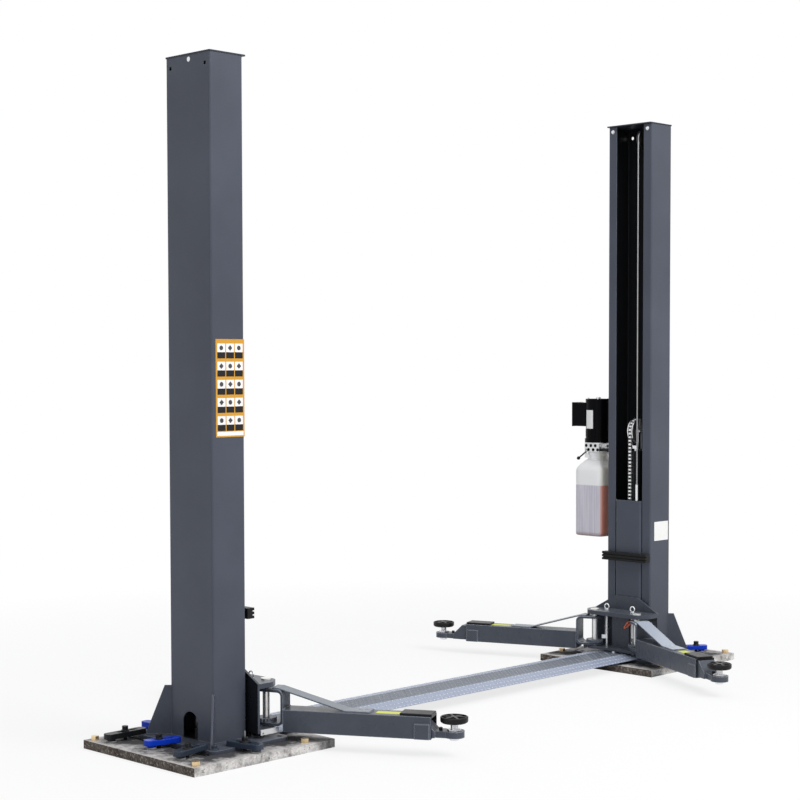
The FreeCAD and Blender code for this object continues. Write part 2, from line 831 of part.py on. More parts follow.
def extension(reach):
    half = arm_width / 2 - arm_wall - extension_clear
    z0 = extension_foot_z
    z1 = arm_top - arm_wall - extension_clear
    start = reach - extension_length
    foot_x = reach - extension_slope_foot
    head_x = reach - extension_slope_top
    lug_top = z0 + lug_height
    tube = prism_y([(start, z0), (foot_x, z0), (foot_x, lug_top), (head_x, z1), (start, z1)], -half, half)
    w = extension_wall
    inner = [(start - 1, z0 + w), (foot_x - w, z0 + w), (foot_x - w, lug_top - w / 2),
             (head_x - w / 2, z1 - w), (start - 1, z1 - w)]
    tube = tube.cut(prism_y(inner, -half + w, half - w))
    lug = box(foot_x, reach, -lug_width / 2, lug_width / 2, z0, lug_top)
    eye = rod(eye_radius, reach, 0, z0, z0 + lug_height)
    whole = fused([tube, lug, eye])
    return whole.cut(rod(pad_stem + pad_stem_fit, reach, 0, z0 - 1, z0 + lug_height + 1))


def pad(reach):
    z0 = extension_foot_z
    plate_z = z0 + lug_height + pad_gap
    stem = rod(pad_stem, reach, 0, z0 - stem_below, plate_z)
    dish = rod(pad_radius - 4, reach, 0, plate_z, plate_z + pad_plate)
    top = rod(pad_radius, reach, 0, plate_z + pad_plate, plate_z + pad_height)
    return fused([stem, dish, top])


def place_arm(shape, corner):
    """Turn a piece drawn along +X to its arm's rest angle and set it on its pivot."""
    angle, reach = arm_rest[corner]
    near = corner.startswith("near")
    left = corner.endswith("left")
    if left:
        turn = -angle if near else angle
    else:
        turn = 180 + angle if near else 180 - angle
    placed = shape.copy()
    placed.rotate(V(0, 0, 0), V(0, 0, 1), turn)
    placed.translate(V(-pivot_x if left else pivot_x, -pivot_y if near else pivot_y, 0))
    return placed


def arm_lock(x, y, pivot):
    """Lock rod with its dog and pull ring."""
    sector_top = lower_flange_z + arm_flange + sector_thickness
    shank = rod(lock_radius, x, y, base_top + lock_foot_gap, lock_top_z)
    away = V(pivot[0] - x, pivot[1] - y, 0)
    away.normalize()
    z0 = sector_top + lock_dog_gap
    dog = Part.makeBox(lock_dog_reach, 20, lock_dog_height, V(0, -10, z0))
    dog.rotate(V(0, 0, 0), V(0, 0, 1), math.degrees(math.atan2(away.y, away.x)))
    dog.translate(V(x, y, 0))
    ring = revolved_y(octagon(ring_wire, ring_radius), x, y, lock_top_z + ring_radius, 360)
    ring.rotate(V(x, y, 0), V(0, 0, 1), 90)
    return fused([shank, dog, ring])


# Power unit

def unit_bracket():
    """Bent plate on the column's side, with a shelf out to the pump block."""
    y0 = column_width / 2
    plate = box(unit_x - bracket_half, unit_x + bracket_half, y0, y0 + bracket_plate,
                block_foot_z - 20, block_top_z + 40)
    shelf = box(unit_x - bracket_half, unit_x + bracket_half, y0, unit_y - block_y / 2,
                block_foot_z + 4, block_foot_z + 4 + 2 * bracket_plate)
    return fused([plate, shelf])


def pump_block():
    return box(unit_x - block_x / 2, unit_x + block_x / 2, unit_y - block_y / 2, unit_y + block_y / 2,
               block_foot_z, block_top_z)


def motor():
    flange = rod(motor_radius + motor_flange, unit_x, unit_y, block_top_z, motor_flange_z)
    barrel = rod(motor_radius, unit_x, unit_y, motor_flange_z, motor_top_z)
    return fused([flange, barrel])


def motor_terminal_box():
    shape = box(unit_x - motor_box_width / 2, unit_x + motor_box_width / 2, unit_y, unit_y + motor_box_reach,
                motor_box_foot_z, motor_box_foot_z + motor_box_height)
    return shape.cut(rod(motor_radius, unit_x, unit_y, motor_flange_z, motor_top_z))


def tank_square(inset, z):
    x = tank_x / 2 - inset
    y = tank_y / 2 - inset
    corners = [(-x, -y), (x, -y), (x, y), (-x, y), (-x, -y)]
    return Part.makePolygon([V(unit_x + a, unit_y + b, z) for a, b in corners])


def oil_tank():
    body = box(unit_x - tank_x / 2, unit_x + tank_x / 2, unit_y - tank_y / 2, unit_y + tank_y / 2,
               tank_foot_z, tank_shoulder_z)
    body = round_uprights(body, tank_corner, lambda x, y: True)
    squares = [tank_square(tank_step, tank_shoulder_z), tank_square(tank_slope, tank_neck_z)]
    shoulder = Part.makeLoft(squares, True)
    neck = rod(tank_neck_radius, unit_x, unit_y, tank_neck_z, block_foot_z)
    return fused([body, shoulder, neck])


def lowering_lever():
    """Lever with a round knob, leaning down and away from the pump block."""
    r = knob_radius
    outline = [(0, 0), (lever_radius, 0), (lever_radius, lever_length - r), (r * 0.7, lever_length - r * 0.7),
               (r, lever_length), (r * 0.7, lever_length + r * 0.7), (0, lever_length + r)]
    lever = revolved_y(outline, 0, 0, 0, 360)
    lever.rotate(V(0, 0, 0), V(1, 0, 0), -lever_drop)
    lever.translate(V(unit_x - block_x / 4, unit_y + block_y / 2, block_foot_z + lever_rise))
    return lever.cut(pump_block())


# Clamps

def clamp(side, outer, inner, share=0.5):
    """Slotted strap with a round foot near its heel on the slab, and its toe on the base plate."""
    length = math.hypot(inner[0] - outer[0], inner[1] - outer[1])
    z0 = base_top
    half = clamp_width / 2
    strap = box(0, length, -half, half, z0, z0 + clamp_thickness)
    strap = round_uprights(strap, clamp_corner, lambda x, y: True)
    slot = box(length * 0.3, length * 0.8, -clamp_slot / 2, clamp_slot / 2, z0 - 1, z0 + clamp_thickness + 1)
    heel = rod(heel_radius, heel_inset, 0, slab_thickness, z0)
    return turned(fused([strap.cut(slot), heel]), side, outer, inner)


def clamp_bolt_set(side, outer, inner, share=0.5):
    """Washer, nut and stud at a share of the clamp's length from its heel."""
    length = math.hypot(inner[0] - outer[0], inner[1] - outer[1])
    x = length * share
    z0 = base_top + clamp_thickness
    z1 = z0 + clamp_washer_height
    washer = rod(clamp_washer, x, 0, z0, z1)
    nut = hexagon(x, 0, clamp_nut, z1, z1 + clamp_nut_height)
    stud = rod(clamp_bolt - 0.5, x, 0, slab_thickness, z0)
    return turned(fused([washer, nut, stud]), side, outer, inner)


def turned(shape, side, outer, inner):
    """Lay a clamp piece drawn along +X from its heel to its toe, on the named side."""
    sign = -1 if side == "left" else 1
    angle = math.degrees(math.atan2(inner[1] - outer[1], sign * (inner[0] - outer[0])))
    shape.rotate(V(0, 0, 0), V(0, 0, 1), angle)
    shape.translate(V(sign * (half_span + outer[0]), outer[1], 0))
    return shape


# Heel and toe of each clamp in plan, X measured outwards from the open face of its column
end, side = base_outward, base_half_y
black_clamps = [("left", (end + 163, side - 2), (end - 34, side)),
                ("right", (end + 162, side - 20), (end - 30, side))]
blue_clamps = [("left", (end + 122, 36), (end - 30, 2), 0.4),
               ("left", (148, side + 110), (128, side - 50)),
               ("right", (end + 120, 10 - side), (end - 8, 112 - side), 0.36),
               ("right", (118, side + 110), (126, side - 50))]
slate_clamps = [("left", (end + 156, 38 - side), (end - 18, 74 - side), 0.4),
                ("left", (102, -side - 110), (138, 56 - side))]


def main():
    os.makedirs("parts", exist_ok=True)
    save_both("slabs", slab())
    save_both("base_plates", base_plate())
    save_pair("column", column())
    save_both("column_caps", column_cap())
    save_both("slab_bolts", slab_bolts())
    save_both("gussets", gussets())
    save("floor_cover", floor_cover())
    save("clamps_black", [clamp(*place) for place in black_clamps])
    save("clamps_blue", [clamp(*place) for place in blue_clamps])
    save("clamps_slate", [clamp(*place) for place in slate_clamps])
    save("clamp_bolts", [clamp_bolt_set(*place) for place in black_clamps + blue_clamps + slate_clamps])

    save_pair("carriage", carriage_slide())
    save_pair("yoke", yoke())
    save_pair("slide_blocks", slide_blocks())
    save_pair("arm_pins", arm_pins())
    save_pair("stop_plates", stop_plates())
    save_pair("bumper", bumper())
    save_pair("rope_terminals", rope_terminals())

    save_both("cylinders", cylinder())
    save_pair("piston_rod", piston_and_wheel())
    save_pair("chain_wheel", chain_wheel())
    save_pair("lift_chain", chain())
    save_both("chain_anchors", chain_anchor())

    save_both("sheaves", sheaves())
    save_both("sheave_hangers", sheave_hangers())
    ropes = rope()
    save("equalizing_rope_right", ropes)
    save("equalizing_rope_left", half_turn(ropes))

    for corner, (angle, reach) in arm_rest.items():
        save("arm_" + corner, place_arm(arm(), corner))
        save("extension_" + corner, place_arm(extension(reach), corner))
        save("pad_" + corner, place_arm(pad(reach), corner))
        side_x = -1 if corner.endswith("left") else 1
        side_y = -1 if corner.startswith("near") else 1
        pivot = (side_x * pivot_x, side_y * pivot_y)
        save("arm_lock_" + corner, arm_lock(side_x * lock_x, side_y * lock_y, pivot))

    save("unit_bracket", unit_bracket())
    save("pump_block", pump_block())
    save("motor", motor())
    save("motor_box", motor_terminal_box())
    save("oil_tank", oil_tank())
    save("lowering_lever", lowering_lever())


main()
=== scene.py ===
import math

import bpy
from mathutils import Matrix, Vector

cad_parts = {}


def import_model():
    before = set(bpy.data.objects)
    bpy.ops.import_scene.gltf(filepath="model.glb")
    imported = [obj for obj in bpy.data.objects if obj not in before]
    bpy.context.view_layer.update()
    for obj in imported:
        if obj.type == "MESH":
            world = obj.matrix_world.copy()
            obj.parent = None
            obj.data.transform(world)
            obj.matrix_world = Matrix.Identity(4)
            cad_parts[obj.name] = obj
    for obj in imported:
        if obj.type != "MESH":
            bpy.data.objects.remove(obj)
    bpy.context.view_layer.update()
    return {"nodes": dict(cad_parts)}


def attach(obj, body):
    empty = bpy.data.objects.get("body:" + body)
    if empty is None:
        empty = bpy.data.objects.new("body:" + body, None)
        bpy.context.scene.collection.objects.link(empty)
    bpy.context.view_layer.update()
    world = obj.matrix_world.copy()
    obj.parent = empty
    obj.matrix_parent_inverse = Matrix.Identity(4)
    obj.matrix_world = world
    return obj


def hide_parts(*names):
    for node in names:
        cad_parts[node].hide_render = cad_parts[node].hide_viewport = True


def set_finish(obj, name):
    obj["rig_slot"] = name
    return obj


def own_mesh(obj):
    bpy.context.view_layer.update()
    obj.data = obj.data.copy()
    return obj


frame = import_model()

# Places and sizes of the lift, in metres. The left side is the right one turned half a turn about Z.
HALF_SPAN = 1.380
COLUMN_DEPTH = 0.171
COLUMN_HALF = 0.1405
BACK_X = HALF_SPAN + COLUMN_DEPTH
SLAB_TOP = 0.035
BASE_TOP = 0.050
FRONT_X = 1.372
COVER_TOP = 0.066
COVER_END = 1.284
COVER_TOP_HALF = 0.071
COVER_FOOT_HALF = 0.166
PIVOT_X = 1.270
PIVOT_Y = 0.138
ARM_FOOT = 0.071
ARM_TOP = 0.163
ARM_HALF = 0.050
ARM_START = 0.088
ARM_END = 0.714
LOCK_X = 1.305
LOCK_Y = 0.084
CHAIN_X = 1.452
CHAIN_PITCH_RADIUS = 0.060
WHEEL_Z = 1.223
ROPE_Y = 0.044
ROPE_FRONT = 1.393
SHEAVE_PITCH = 0.048
SHEAVE_X = ROPE_FRONT + SHEAVE_PITCH
ROPE_BACK = SHEAVE_X + SHEAVE_PITCH
ROPE_FLOOR = 0.056
SHEAVE_TOP = 2.752
ANCHOR_X = 1.610
ANCHOR_Y = 0.214
BROAD_WASHERS = ((-1.7284, -0.1936), (-1.5000, -0.2730))
CLAMP_HEELS = ((-1.7750, 0.2443), (-1.7347, 0.0295), (-1.7686, -0.2019), (-1.4884, -0.3267),
               (1.7385, -0.2173), (1.7742, 0.2291), (-1.5243, 0.3262), (1.4995, 0.3260))
UNIT_X = 1.487
UNIT_Y = 0.287
TANK_HALF = 0.095
LUG_TOP = 0.1043
PAD_TOP = 0.1623
ARM_REST = {
    "near_left": (60.0, 0.800),
    "far_left": (60.5, 0.905),
    "near_right": (64.1, 0.851),
    "far_right": (69.0, 0.8655),
}

# Ropes and chains, the cards' depths, and the heights between which the tank's colour changes.
ROPE_ENDS = (0.834, 0.222)
ROPE_RADIUS = 0.0045
CHAIN_PITCH = 0.01905
CHAIN_ENDS = (0.200, 0.165)
CARD_FACE = 0.0012
CARD_PRINT = 0.0016
OIL_LINE = (0.9265, 0.9225)
TANK_FOOT = (0.674, 0.652)

# Turns that lay an upright bolt over towards one side.
TO_LEFT = (0, -math.pi / 2, 0)
TO_RIGHT = (0, math.pi / 2, 0)
TO_NEAR = (math.pi / 2, 0, 0)
TO_FAR = (-math.pi / 2, 0, 0)


# Nodes

def fill(tree, node, values):
    """Link or fill a node's inputs."""
    for key, value in values.items():
        if isinstance(value, bpy.types.NodeSocket):
            tree.links.new(value, node.inputs[key])
        else:
            node.inputs[key].default_value = value


def add(tree, kind, values=None, **settings):
    """Add a node, set its properties, and link or fill its inputs."""
    node = tree.nodes.new(kind)
    for key, value in settings.items():
        setattr(node, key, value)
    fill(tree, node, values or {})
    return node


def maths(tree, operation, first, second=0.0, third=0.0, clamp=False):
    values = {0: first, 1: second, 2: third}
    return add(tree, "ShaderNodeMath", values, operation=operation, use_clamp=clamp).outputs[0]


def ramp(tree, value, low, high):
    """Value carried from the range low..high to 0..1, and held there."""
    values = {"Value": value, "From Min": low, "From Max": high}
    return add(tree, "ShaderNodeMapRange", values, clamp=True).outputs[0]


def mixed(tree, mask, first, second):
    """Colour that goes from first to second as the mask goes from 0 to 1."""
    return add(tree, "ShaderNodeMix", {0: mask, 6: first, 7: second}, data_type="RGBA").outputs[2]


def noise(tree, vector, scale, detail, roughness=0.5):
    values = {"Vector": vector, "Scale": scale, "Detail": detail, "Roughness": roughness}
    return add(tree, "ShaderNodeTexNoise", values).outputs[0]


def bumped(tree, height, distance, strength=1.0, **more):
    """Normal of a surface that a height raises."""
    values = {"Height": height, "Distance": distance, "Strength": strength, **more}
    return add(tree, "ShaderNodeBump", values).outputs[0]


def axes(tree, vector):
    """The X, Y and Z of a vector."""
    return add(tree, "ShaderNodeSeparateXYZ", {0: vector}).outputs


def facing(tree):
    """The X, Y and Z of the way that a face looks."""
    return axes(tree, add(tree, "ShaderNodeNewGeometry").outputs["Normal"])


def object_place(tree):
    return add(tree, "ShaderNodeTexCoord").outputs["Object"]


def rgb(red, green, blue):
    return (red, green, blue, 1.0)


# Shader groups

def group_start(name, inputs, outputs):
    """New shader group; an input's first value is a number, or None for a vector."""
    tree = bpy.data.node_groups.new(name, "ShaderNodeTree")
    for label, value in inputs.items():
        kind = "Vector" if value is None else "Float"
        socket = tree.interface.new_socket(label, in_out="INPUT", socket_type="NodeSocket" + kind)
        if value is not None:
            socket.default_value = value
    for label, kind in outputs.items():
        tree.interface.new_socket(label, in_out="OUTPUT", socket_type="NodeSocket" + kind)
    return tree, tree.nodes.new("NodeGroupInput"), tree.nodes.new("NodeGroupOutput")


def fine_grain():
    """Small even bumps of sprayed or moulded surfaces, with a little change of gloss."""
    tree, start, end = group_start(
        "fine_grain", {"Vector": None, "Scale": 900.0, "Roughness": 0.4, "Change": 0.1},
        {"Height": "Float", "Roughness": "Float"})
    given = start.outputs
    fine = noise(tree, given["Vector"], given["Scale"], 3.0)
    broad = noise(tree, given["Vector"], 14.0, 4.0)
    change = maths(tree, "MULTIPLY", maths(tree, "SUBTRACT", broad, 0.5), given["Change"])
    total = maths(tree, "ADD", given["Roughness"], change, clamp=True)
    fill(tree, end, {"Height": fine, "Roughness": total})
    return tree


def settled_dust():
    """Mask of dust that lies on faces that look up and gathers near the floor."""
    tree, start, end = group_start(
        "settled_dust", {"Vector": None, "Amount": 0.3, "Foot Height": 0.35}, {"Mask": "Float"})
    given = start.outputs
    upward = ramp(tree, facing(tree)["Z"], 0.35, 1.0)
    foot = add(tree, "ShaderNodeMapRange", {
        "Value": axes(tree, given["Vector"])["Z"], "From Min": 0.0, "From Max": given["Foot Height"],
        "To Min": 0.4, "To Max": 0.0}).outputs[0]
    cloud = ramp(tree, noise(tree, given["Vector"], 23.0, 6.0, 0.65), 0.35, 0.75)
    both = maths(tree, "ADD", upward, foot, clamp=True)
    mask = maths(tree, "MULTIPLY", maths(tree, "MULTIPLY", both, cloud), given["Amount"], clamp=True)
    fill(tree, end, {"Mask": mask})
    return tree


def edge_wear_and_highlight():
    """Mask of edges chipped bare, with a painted highlight along the unbroken stretches between the chips,
    found where a rounded normal leaves the flat one, and that rounded normal.

    The last input sets how much of the unbroken stretches between the chips take the painted highlight."""
    tree, start, end = group_start(
        "edge_wear_and_highlight", {"Vector": None, "Width": 0.002, "Amount": 0.5, "Sheen": 0.0},
        {"Mask": "Float", "Normal": "Vector"})
    given = start.outputs
    rounded = add(tree, "ShaderNodeBevel", {"Radius": given["Width"]}, samples=4).outputs[0]
    flat = add(tree, "ShaderNodeNewGeometry").outputs["Normal"]
    turn = add(tree, "ShaderNodeVectorMath", {0: rounded, 1: flat}, operation="DOT_PRODUCT").outputs["Value"]
    edge = ramp(tree, turn, 0.985, 0.80)
    chips = ramp(tree, noise(tree, given["Vector"], 85.0, 5.0, 0.7), 0.50, 0.62)
    broken = maths(tree, "MAXIMUM", chips, given["Sheen"])
    mask = maths(tree, "MULTIPLY", maths(tree, "MULTIPLY", edge, broken), given["Amount"], clamp=True)
    fill(tree, end, {"Mask": mask, "Normal": rounded})
    return tree


def column_inside_shade():
    """Mask of the faces within a column's walls, where the paint is darkened as painted shade."""
    tree, start, end = group_start("column_inside_shade", {"Vector": None}, {"Mask": "Float"})
    place = axes(tree, start.outputs["Vector"])
    x = maths(tree, "ABSOLUTE", place["X"])
    y = maths(tree, "ABSOLUTE", place["Y"])
    wall = 0.004
    mask = maths(tree, "GREATER_THAN", x, HALF_SPAN + wall)
    for distance, limit in ((x, BACK_X - wall), (y, COLUMN_HALF - wall)):
        mask = maths(tree, "MULTIPLY", mask, maths(tree, "LESS_THAN", distance, limit))
    fill(tree, end, {"Mask": mask})
    return tree


INSIDE_SHADE = column_inside_shade()
GRAIN = fine_grain()
DUST = settled_dust()
WEAR_AND_HIGHLIGHT = edge_wear_and_highlight()


# Materials

def material_start(name):
    """New material, its tree, its shader and the object's own coordinates."""
    material = bpy.data.materials.new(name)
    material.use_nodes = True
    tree = material.node_tree
    return material, tree, tree.nodes["Principled BSDF"], object_place(tree)


def grouped(tree, group, values):
    return add(tree, "ShaderNodeGroup", values, node_tree=group).outputs


def sprayed(name, colour, roughness=0.34, dust=0.12, wear=0.35, under=rgb(0.34, 0.36, 0.39),
            wear_width=0.0022, gloss=0.25, rub=0.0):
    """Sprayed paint with fine grain, dust, edges chipped bare with a painted highlight between the chips, and
    slow changes of tone.
    """
    material, tree, shader, vector = material_start(name)
    grain = grouped(tree, GRAIN, {"Vector": vector, "Scale": 1100.0, "Roughness": roughness, "Change": 0.16})
    dusty = grouped(tree, DUST, {"Vector": vector, "Amount": dust})["Mask"]
    worn_and_sheen = grouped(tree, WEAR_AND_HIGHLIGHT, {"Vector": vector, "Width": wear_width, "Amount": wear, "Sheen": rub})
    shade = 0.10
    darker = rgb(*(c * (1 - shade) for c in colour[:3]))
    lighter = rgb(*(min(1.0, c * (1 + shade)) for c in colour[:3]))
    base = mixed(tree, ramp(tree, noise(tree, vector, 3.2, 3.0), 0.3, 0.7), darker, lighter)
    base = mixed(tree, dusty, base, rgb(0.42, 0.41, 0.39))
    # On the edges the pale colour is bare metal at the chips and a painted highlight along the rest.
    base = mixed(tree, worn_and_sheen["Mask"], base, under)
    rough = maths(tree, "ADD", grain["Roughness"], maths(tree, "MULTIPLY", dusty, 0.5), clamp=True)
    fill(tree, shader, {
        "Base Color": base, "Roughness": rough, "Metallic": maths(tree, "MULTIPLY", worn_and_sheen["Mask"], 0.2),
        "Specular IOR Level": gloss, "Normal": bumped(tree, grain["Height"], 0.00004, Normal=worn_and_sheen["Normal"])})
    return material


def repainted(material, mask, second):
    """Lay a second colour over a material's own one where a mask says so."""
    tree = material.node_tree
    base = tree.nodes["Principled BSDF"].inputs["Base Color"]
    tree.links.new(mixed(tree, mask, base.links[0].from_socket, second), base)
    return material


def column_paint():
    """Column paint that turns near black within the open columns, as painted shade."""
    # Pale edges with a high sheen value: a painted highlight along the column edges besides the chips.
    material = sprayed("slate_column_paint", rgb(0.066, 0.076, 0.102), wear=0.5, wear_width=0.0042,
                       under=rgb(0.46, 0.50, 0.58), rub=0.6)
    tree = material.node_tree
    # Near black over the faces within the column walls: painted shade.
    inside_shade = grouped(tree, INSIDE_SHADE, {"Vector": object_place(tree)})["Mask"]
    return repainted(material, inside_shade, rgb(0.010, 0.011, 0.013))


def masked_paint(name, colour, axis, low, high, second, **finish):
    """Sprayed paint that goes over to a second colour where one axis is farther from the middle."""
    material = sprayed(name, colour, **finish)
    tree = material.node_tree
    distance = maths(tree, "ABSOLUTE", axes(tree, object_place(tree))[axis])
    return repainted(material, ramp(tree, distance, low, high), second)


def cover_paint(name, lit_slope_colour, top_colour, **finish):
    """Paint of the floor cover, one colour on its flat top and a lighter one on its slopes as painted light.
    """
    low, high = COVER_TOP_HALF - 0.002, COVER_TOP_HALF + 0.001
    return masked_paint(name, top_colour, "Y", low, high, lit_slope_colour, **finish)


def arm_paint():
    """Arm paint, painted paler as painted highlight on what lies or leans above the tubes, most of all on the
    near right arm.
    """
    # Pale edges with a high sheen value: a painted highlight along the tube edges besides the chips.
    material = sprayed("slate_arm_paint", rgb(0.060, 0.070, 0.092), roughness=0.28, wear=0.8,
                       under=rgb(0.50, 0.55, 0.64), wear_width=0.0060, rub=0.8)
    tree = material.node_tree
    place, normal = axes(tree, object_place(tree)), facing(tree)
    # Upward faces above the tube top are painted paler as painted highlight, strongest on the near right arm.
    mask = maths(tree, "MULTIPLY", ramp(tree, place["Z"], ARM_TOP + 0.002, ARM_TOP + 0.004),
                 ramp(tree, normal["Z"], 0.72, 0.84))
    near_right = maths(tree, "MULTIPLY", ramp(tree, place["X"], -0.1, 0.1), ramp(tree, place["Y"], 0.1, -0.1))
    painted_highlight = mixed(tree, near_right, rgb(0.19, 0.215, 0.25), rgb(0.42, 0.47, 0.55))
    return repainted(material, mask, painted_highlight)


def bare_metal(name, colour, roughness, stain):
    """Bare or plated metal with stains, grain and a little dust."""
    material, tree, shader, vector = material_start(name)
    grain = grouped(tree, GRAIN, {"Vector": vector, "Scale": 600.0, "Roughness": roughness, "Change": 0.3})
    dusty = grouped(tree, DUST, {"Vector": vector, "Amount": 0.12})["Mask"]
    stained = maths(tree, "MULTIPLY", ramp(tree, noise(tree, vector, 70.0, 6.0, 0.7), 0.52, 0.70), stain)
    base = mixed(tree, stained, colour, rgb(0.10, 0.07, 0.05))
    base = mixed(tree, dusty, base, rgb(0.45, 0.44, 0.42))
    rough = maths(tree, "ADD", grain["Roughness"], maths(tree, "MULTIPLY", stained, 0.5), clamp=True)
    fill(tree, shader, {
        "Base Color": base, "Roughness": rough, "Metallic": maths(tree, "SUBTRACT", 1.0, stained, clamp=True),
        "Normal": bumped(tree, grain["Height"], 0.00005)})
    return material


def moulded(name, colour, roughness, dust=0.2, gloss=0.3):
    """Rubber, plastic, card or a thin coating with an even skin."""
    material, tree, shader, vector = material_start(name)
    grain = grouped(tree, GRAIN, {"Vector": vector, "Scale": 700.0, "Roughness": roughness, "Change": 0.15})
    dusty = grouped(tree, DUST, {"Vector": vector, "Amount": dust})["Mask"]
    fill(tree, shader, {
        "Base Color": mixed(tree, dusty, colour, rgb(0.35, 0.34, 0.32)), "Roughness": grain["Roughness"],
        "Specular IOR Level": gloss, "Normal": bumped(tree, grain["Height"], 0.0001)})
    return material


def weathered_slab():
    """Slab with pale margins and a darker middle on its top, and rough sides painted pale where they look
    along Y as painted light, brown at the ends and darkened there as painted shade.
    """
    material, tree, shader, vector = material_start("weathered_slab")
    normal, place = facing(tree), axes(tree, vector)
    top = ramp(tree, normal["Z"], 0.5, 0.9)
    shaded_end = ramp(tree, maths(tree, "ABSOLUTE", normal["X"]), 0.5, 0.8)
    clouds = noise(tree, vector, 16.0, 8.0, 0.72)
    pits = noise(tree, vector, 95.0, 6.0, 0.75)
    cells = add(tree, "ShaderNodeTexVoronoi", {"Vector": vector, "Scale": 60.0}).outputs["Distance"]
    # Sides that look along Y are painted pale as painted light; sides that look along X are painted dark
    # brown as painted shade.
    pale = mixed(tree, ramp(tree, clouds, 0.38, 0.58), rgb(0.26, 0.25, 0.24), rgb(0.74, 0.72, 0.70))
    brown = mixed(tree, ramp(tree, clouds, 0.40, 0.66), rgb(0.050, 0.040, 0.034), rgb(0.16, 0.135, 0.115))
    brown = mixed(tree, ramp(tree, pits, 0.48, 0.36), brown, rgb(0.34, 0.31, 0.28))
    side = mixed(tree, shaded_end, pale, brown)
    side = mixed(tree, ramp(tree, pits, 0.54, 0.68), side, rgb(0.06, 0.054, 0.05))
    # The top is paler towards its margins and darker in the middle.
    x, y = maths(tree, "ABSOLUTE", place["X"]), maths(tree, "ABSOLUTE", place["Y"])
    outer, inner, flanks = ramp(tree, x, 1.70, 1.82), ramp(tree, x, 1.20, 1.11), ramp(tree, y, 0.27, 0.35)
    margin = maths(tree, "MAXIMUM", maths(tree, "MAXIMUM", outer, inner), flanks)
    dusty = ramp(tree, maths(tree, "ADD", maths(tree, "MULTIPLY", margin, 0.30), clouds), 0.55, 0.80)
    face = mixed(tree, dusty, rgb(0.055, 0.055, 0.060), rgb(0.58, 0.56, 0.55))
    specks = maths(tree, "MULTIPLY", ramp(tree, pits, 0.56, 0.68), 0.75)
    face = mixed(tree, specks, face, rgb(0.07, 0.066, 0.062))
    rough = maths(tree, "ADD", pits, maths(tree, "MULTIPLY", cells, 0.6))
    fill(tree, shader, {"Base Color": mixed(tree, top, side, face), "Roughness": 0.9,
                        "Specular IOR Level": 0.2, "Normal": bumped(tree, rough, 0.002, strength=0.8)})
    return material


def tank_plastic():
    """Milky tank: pale above the oil and lavender grey before it; on faces that look towards -Y it is painted
    brown below the oil and warmer above it, as painted light coming through.
    """
    material, tree, shader, vector = material_start("milky_tank")
    place = axes(tree, vector)
    # Faces that look towards -Y: painted light coming through the milky wall.
    lit = ramp(tree, facing(tree)["Y"], -0.35, -0.85)
    below, foot = ramp(tree, place["Z"], *OIL_LINE), ramp(tree, place["Z"], *TANK_FOOT)
    streaks = add(tree, "ShaderNodeMapping", {"Vector": vector, "Scale": (1.0, 1.0, 0.06)}).outputs[0]
    bands = ramp(tree, noise(tree, streaks, 75.0, 3.0), 0.2, 0.8)
    flutes = maths(tree, "SINE", maths(tree, "MULTIPLY", place["Y"], 2 * math.pi / 0.0115))
    lines = maths(tree, "ADD", bands, maths(tree, "MULTIPLY", flutes, 0.3), clamp=True)
    oil = mixed(tree, lines, rgb(0.52, 0.50, 0.57), rgb(0.72, 0.71, 0.78))
    far_edge = ramp(tree, place["Y"], UNIT_Y + TANK_HALF - 0.012, UNIT_Y + TANK_HALF)
    oil = mixed(tree, maths(tree, "MULTIPLY", far_edge, 0.6), oil, rgb(0.45, 0.30, 0.24))
    oil = mixed(tree, lit, oil, rgb(0.70, 0.29, 0.22))
    oil = mixed(tree, maths(tree, "MULTIPLY", foot, 0.7), oil, rgb(0.24, 0.12, 0.085))
    pale = mixed(tree, lit, rgb(0.90, 0.905, 0.91), rgb(0.80, 0.78, 0.70))
    grain = grouped(tree, GRAIN, {"Vector": vector, "Scale": 300.0, "Roughness": 0.32, "Change": 0.1})
    fill(tree, shader, {"Base Color": mixed(tree, below, pale, oil), "Roughness": grain["Roughness"],
                        "Normal": bumped(tree, grain["Height"], 0.0001)})
    return material


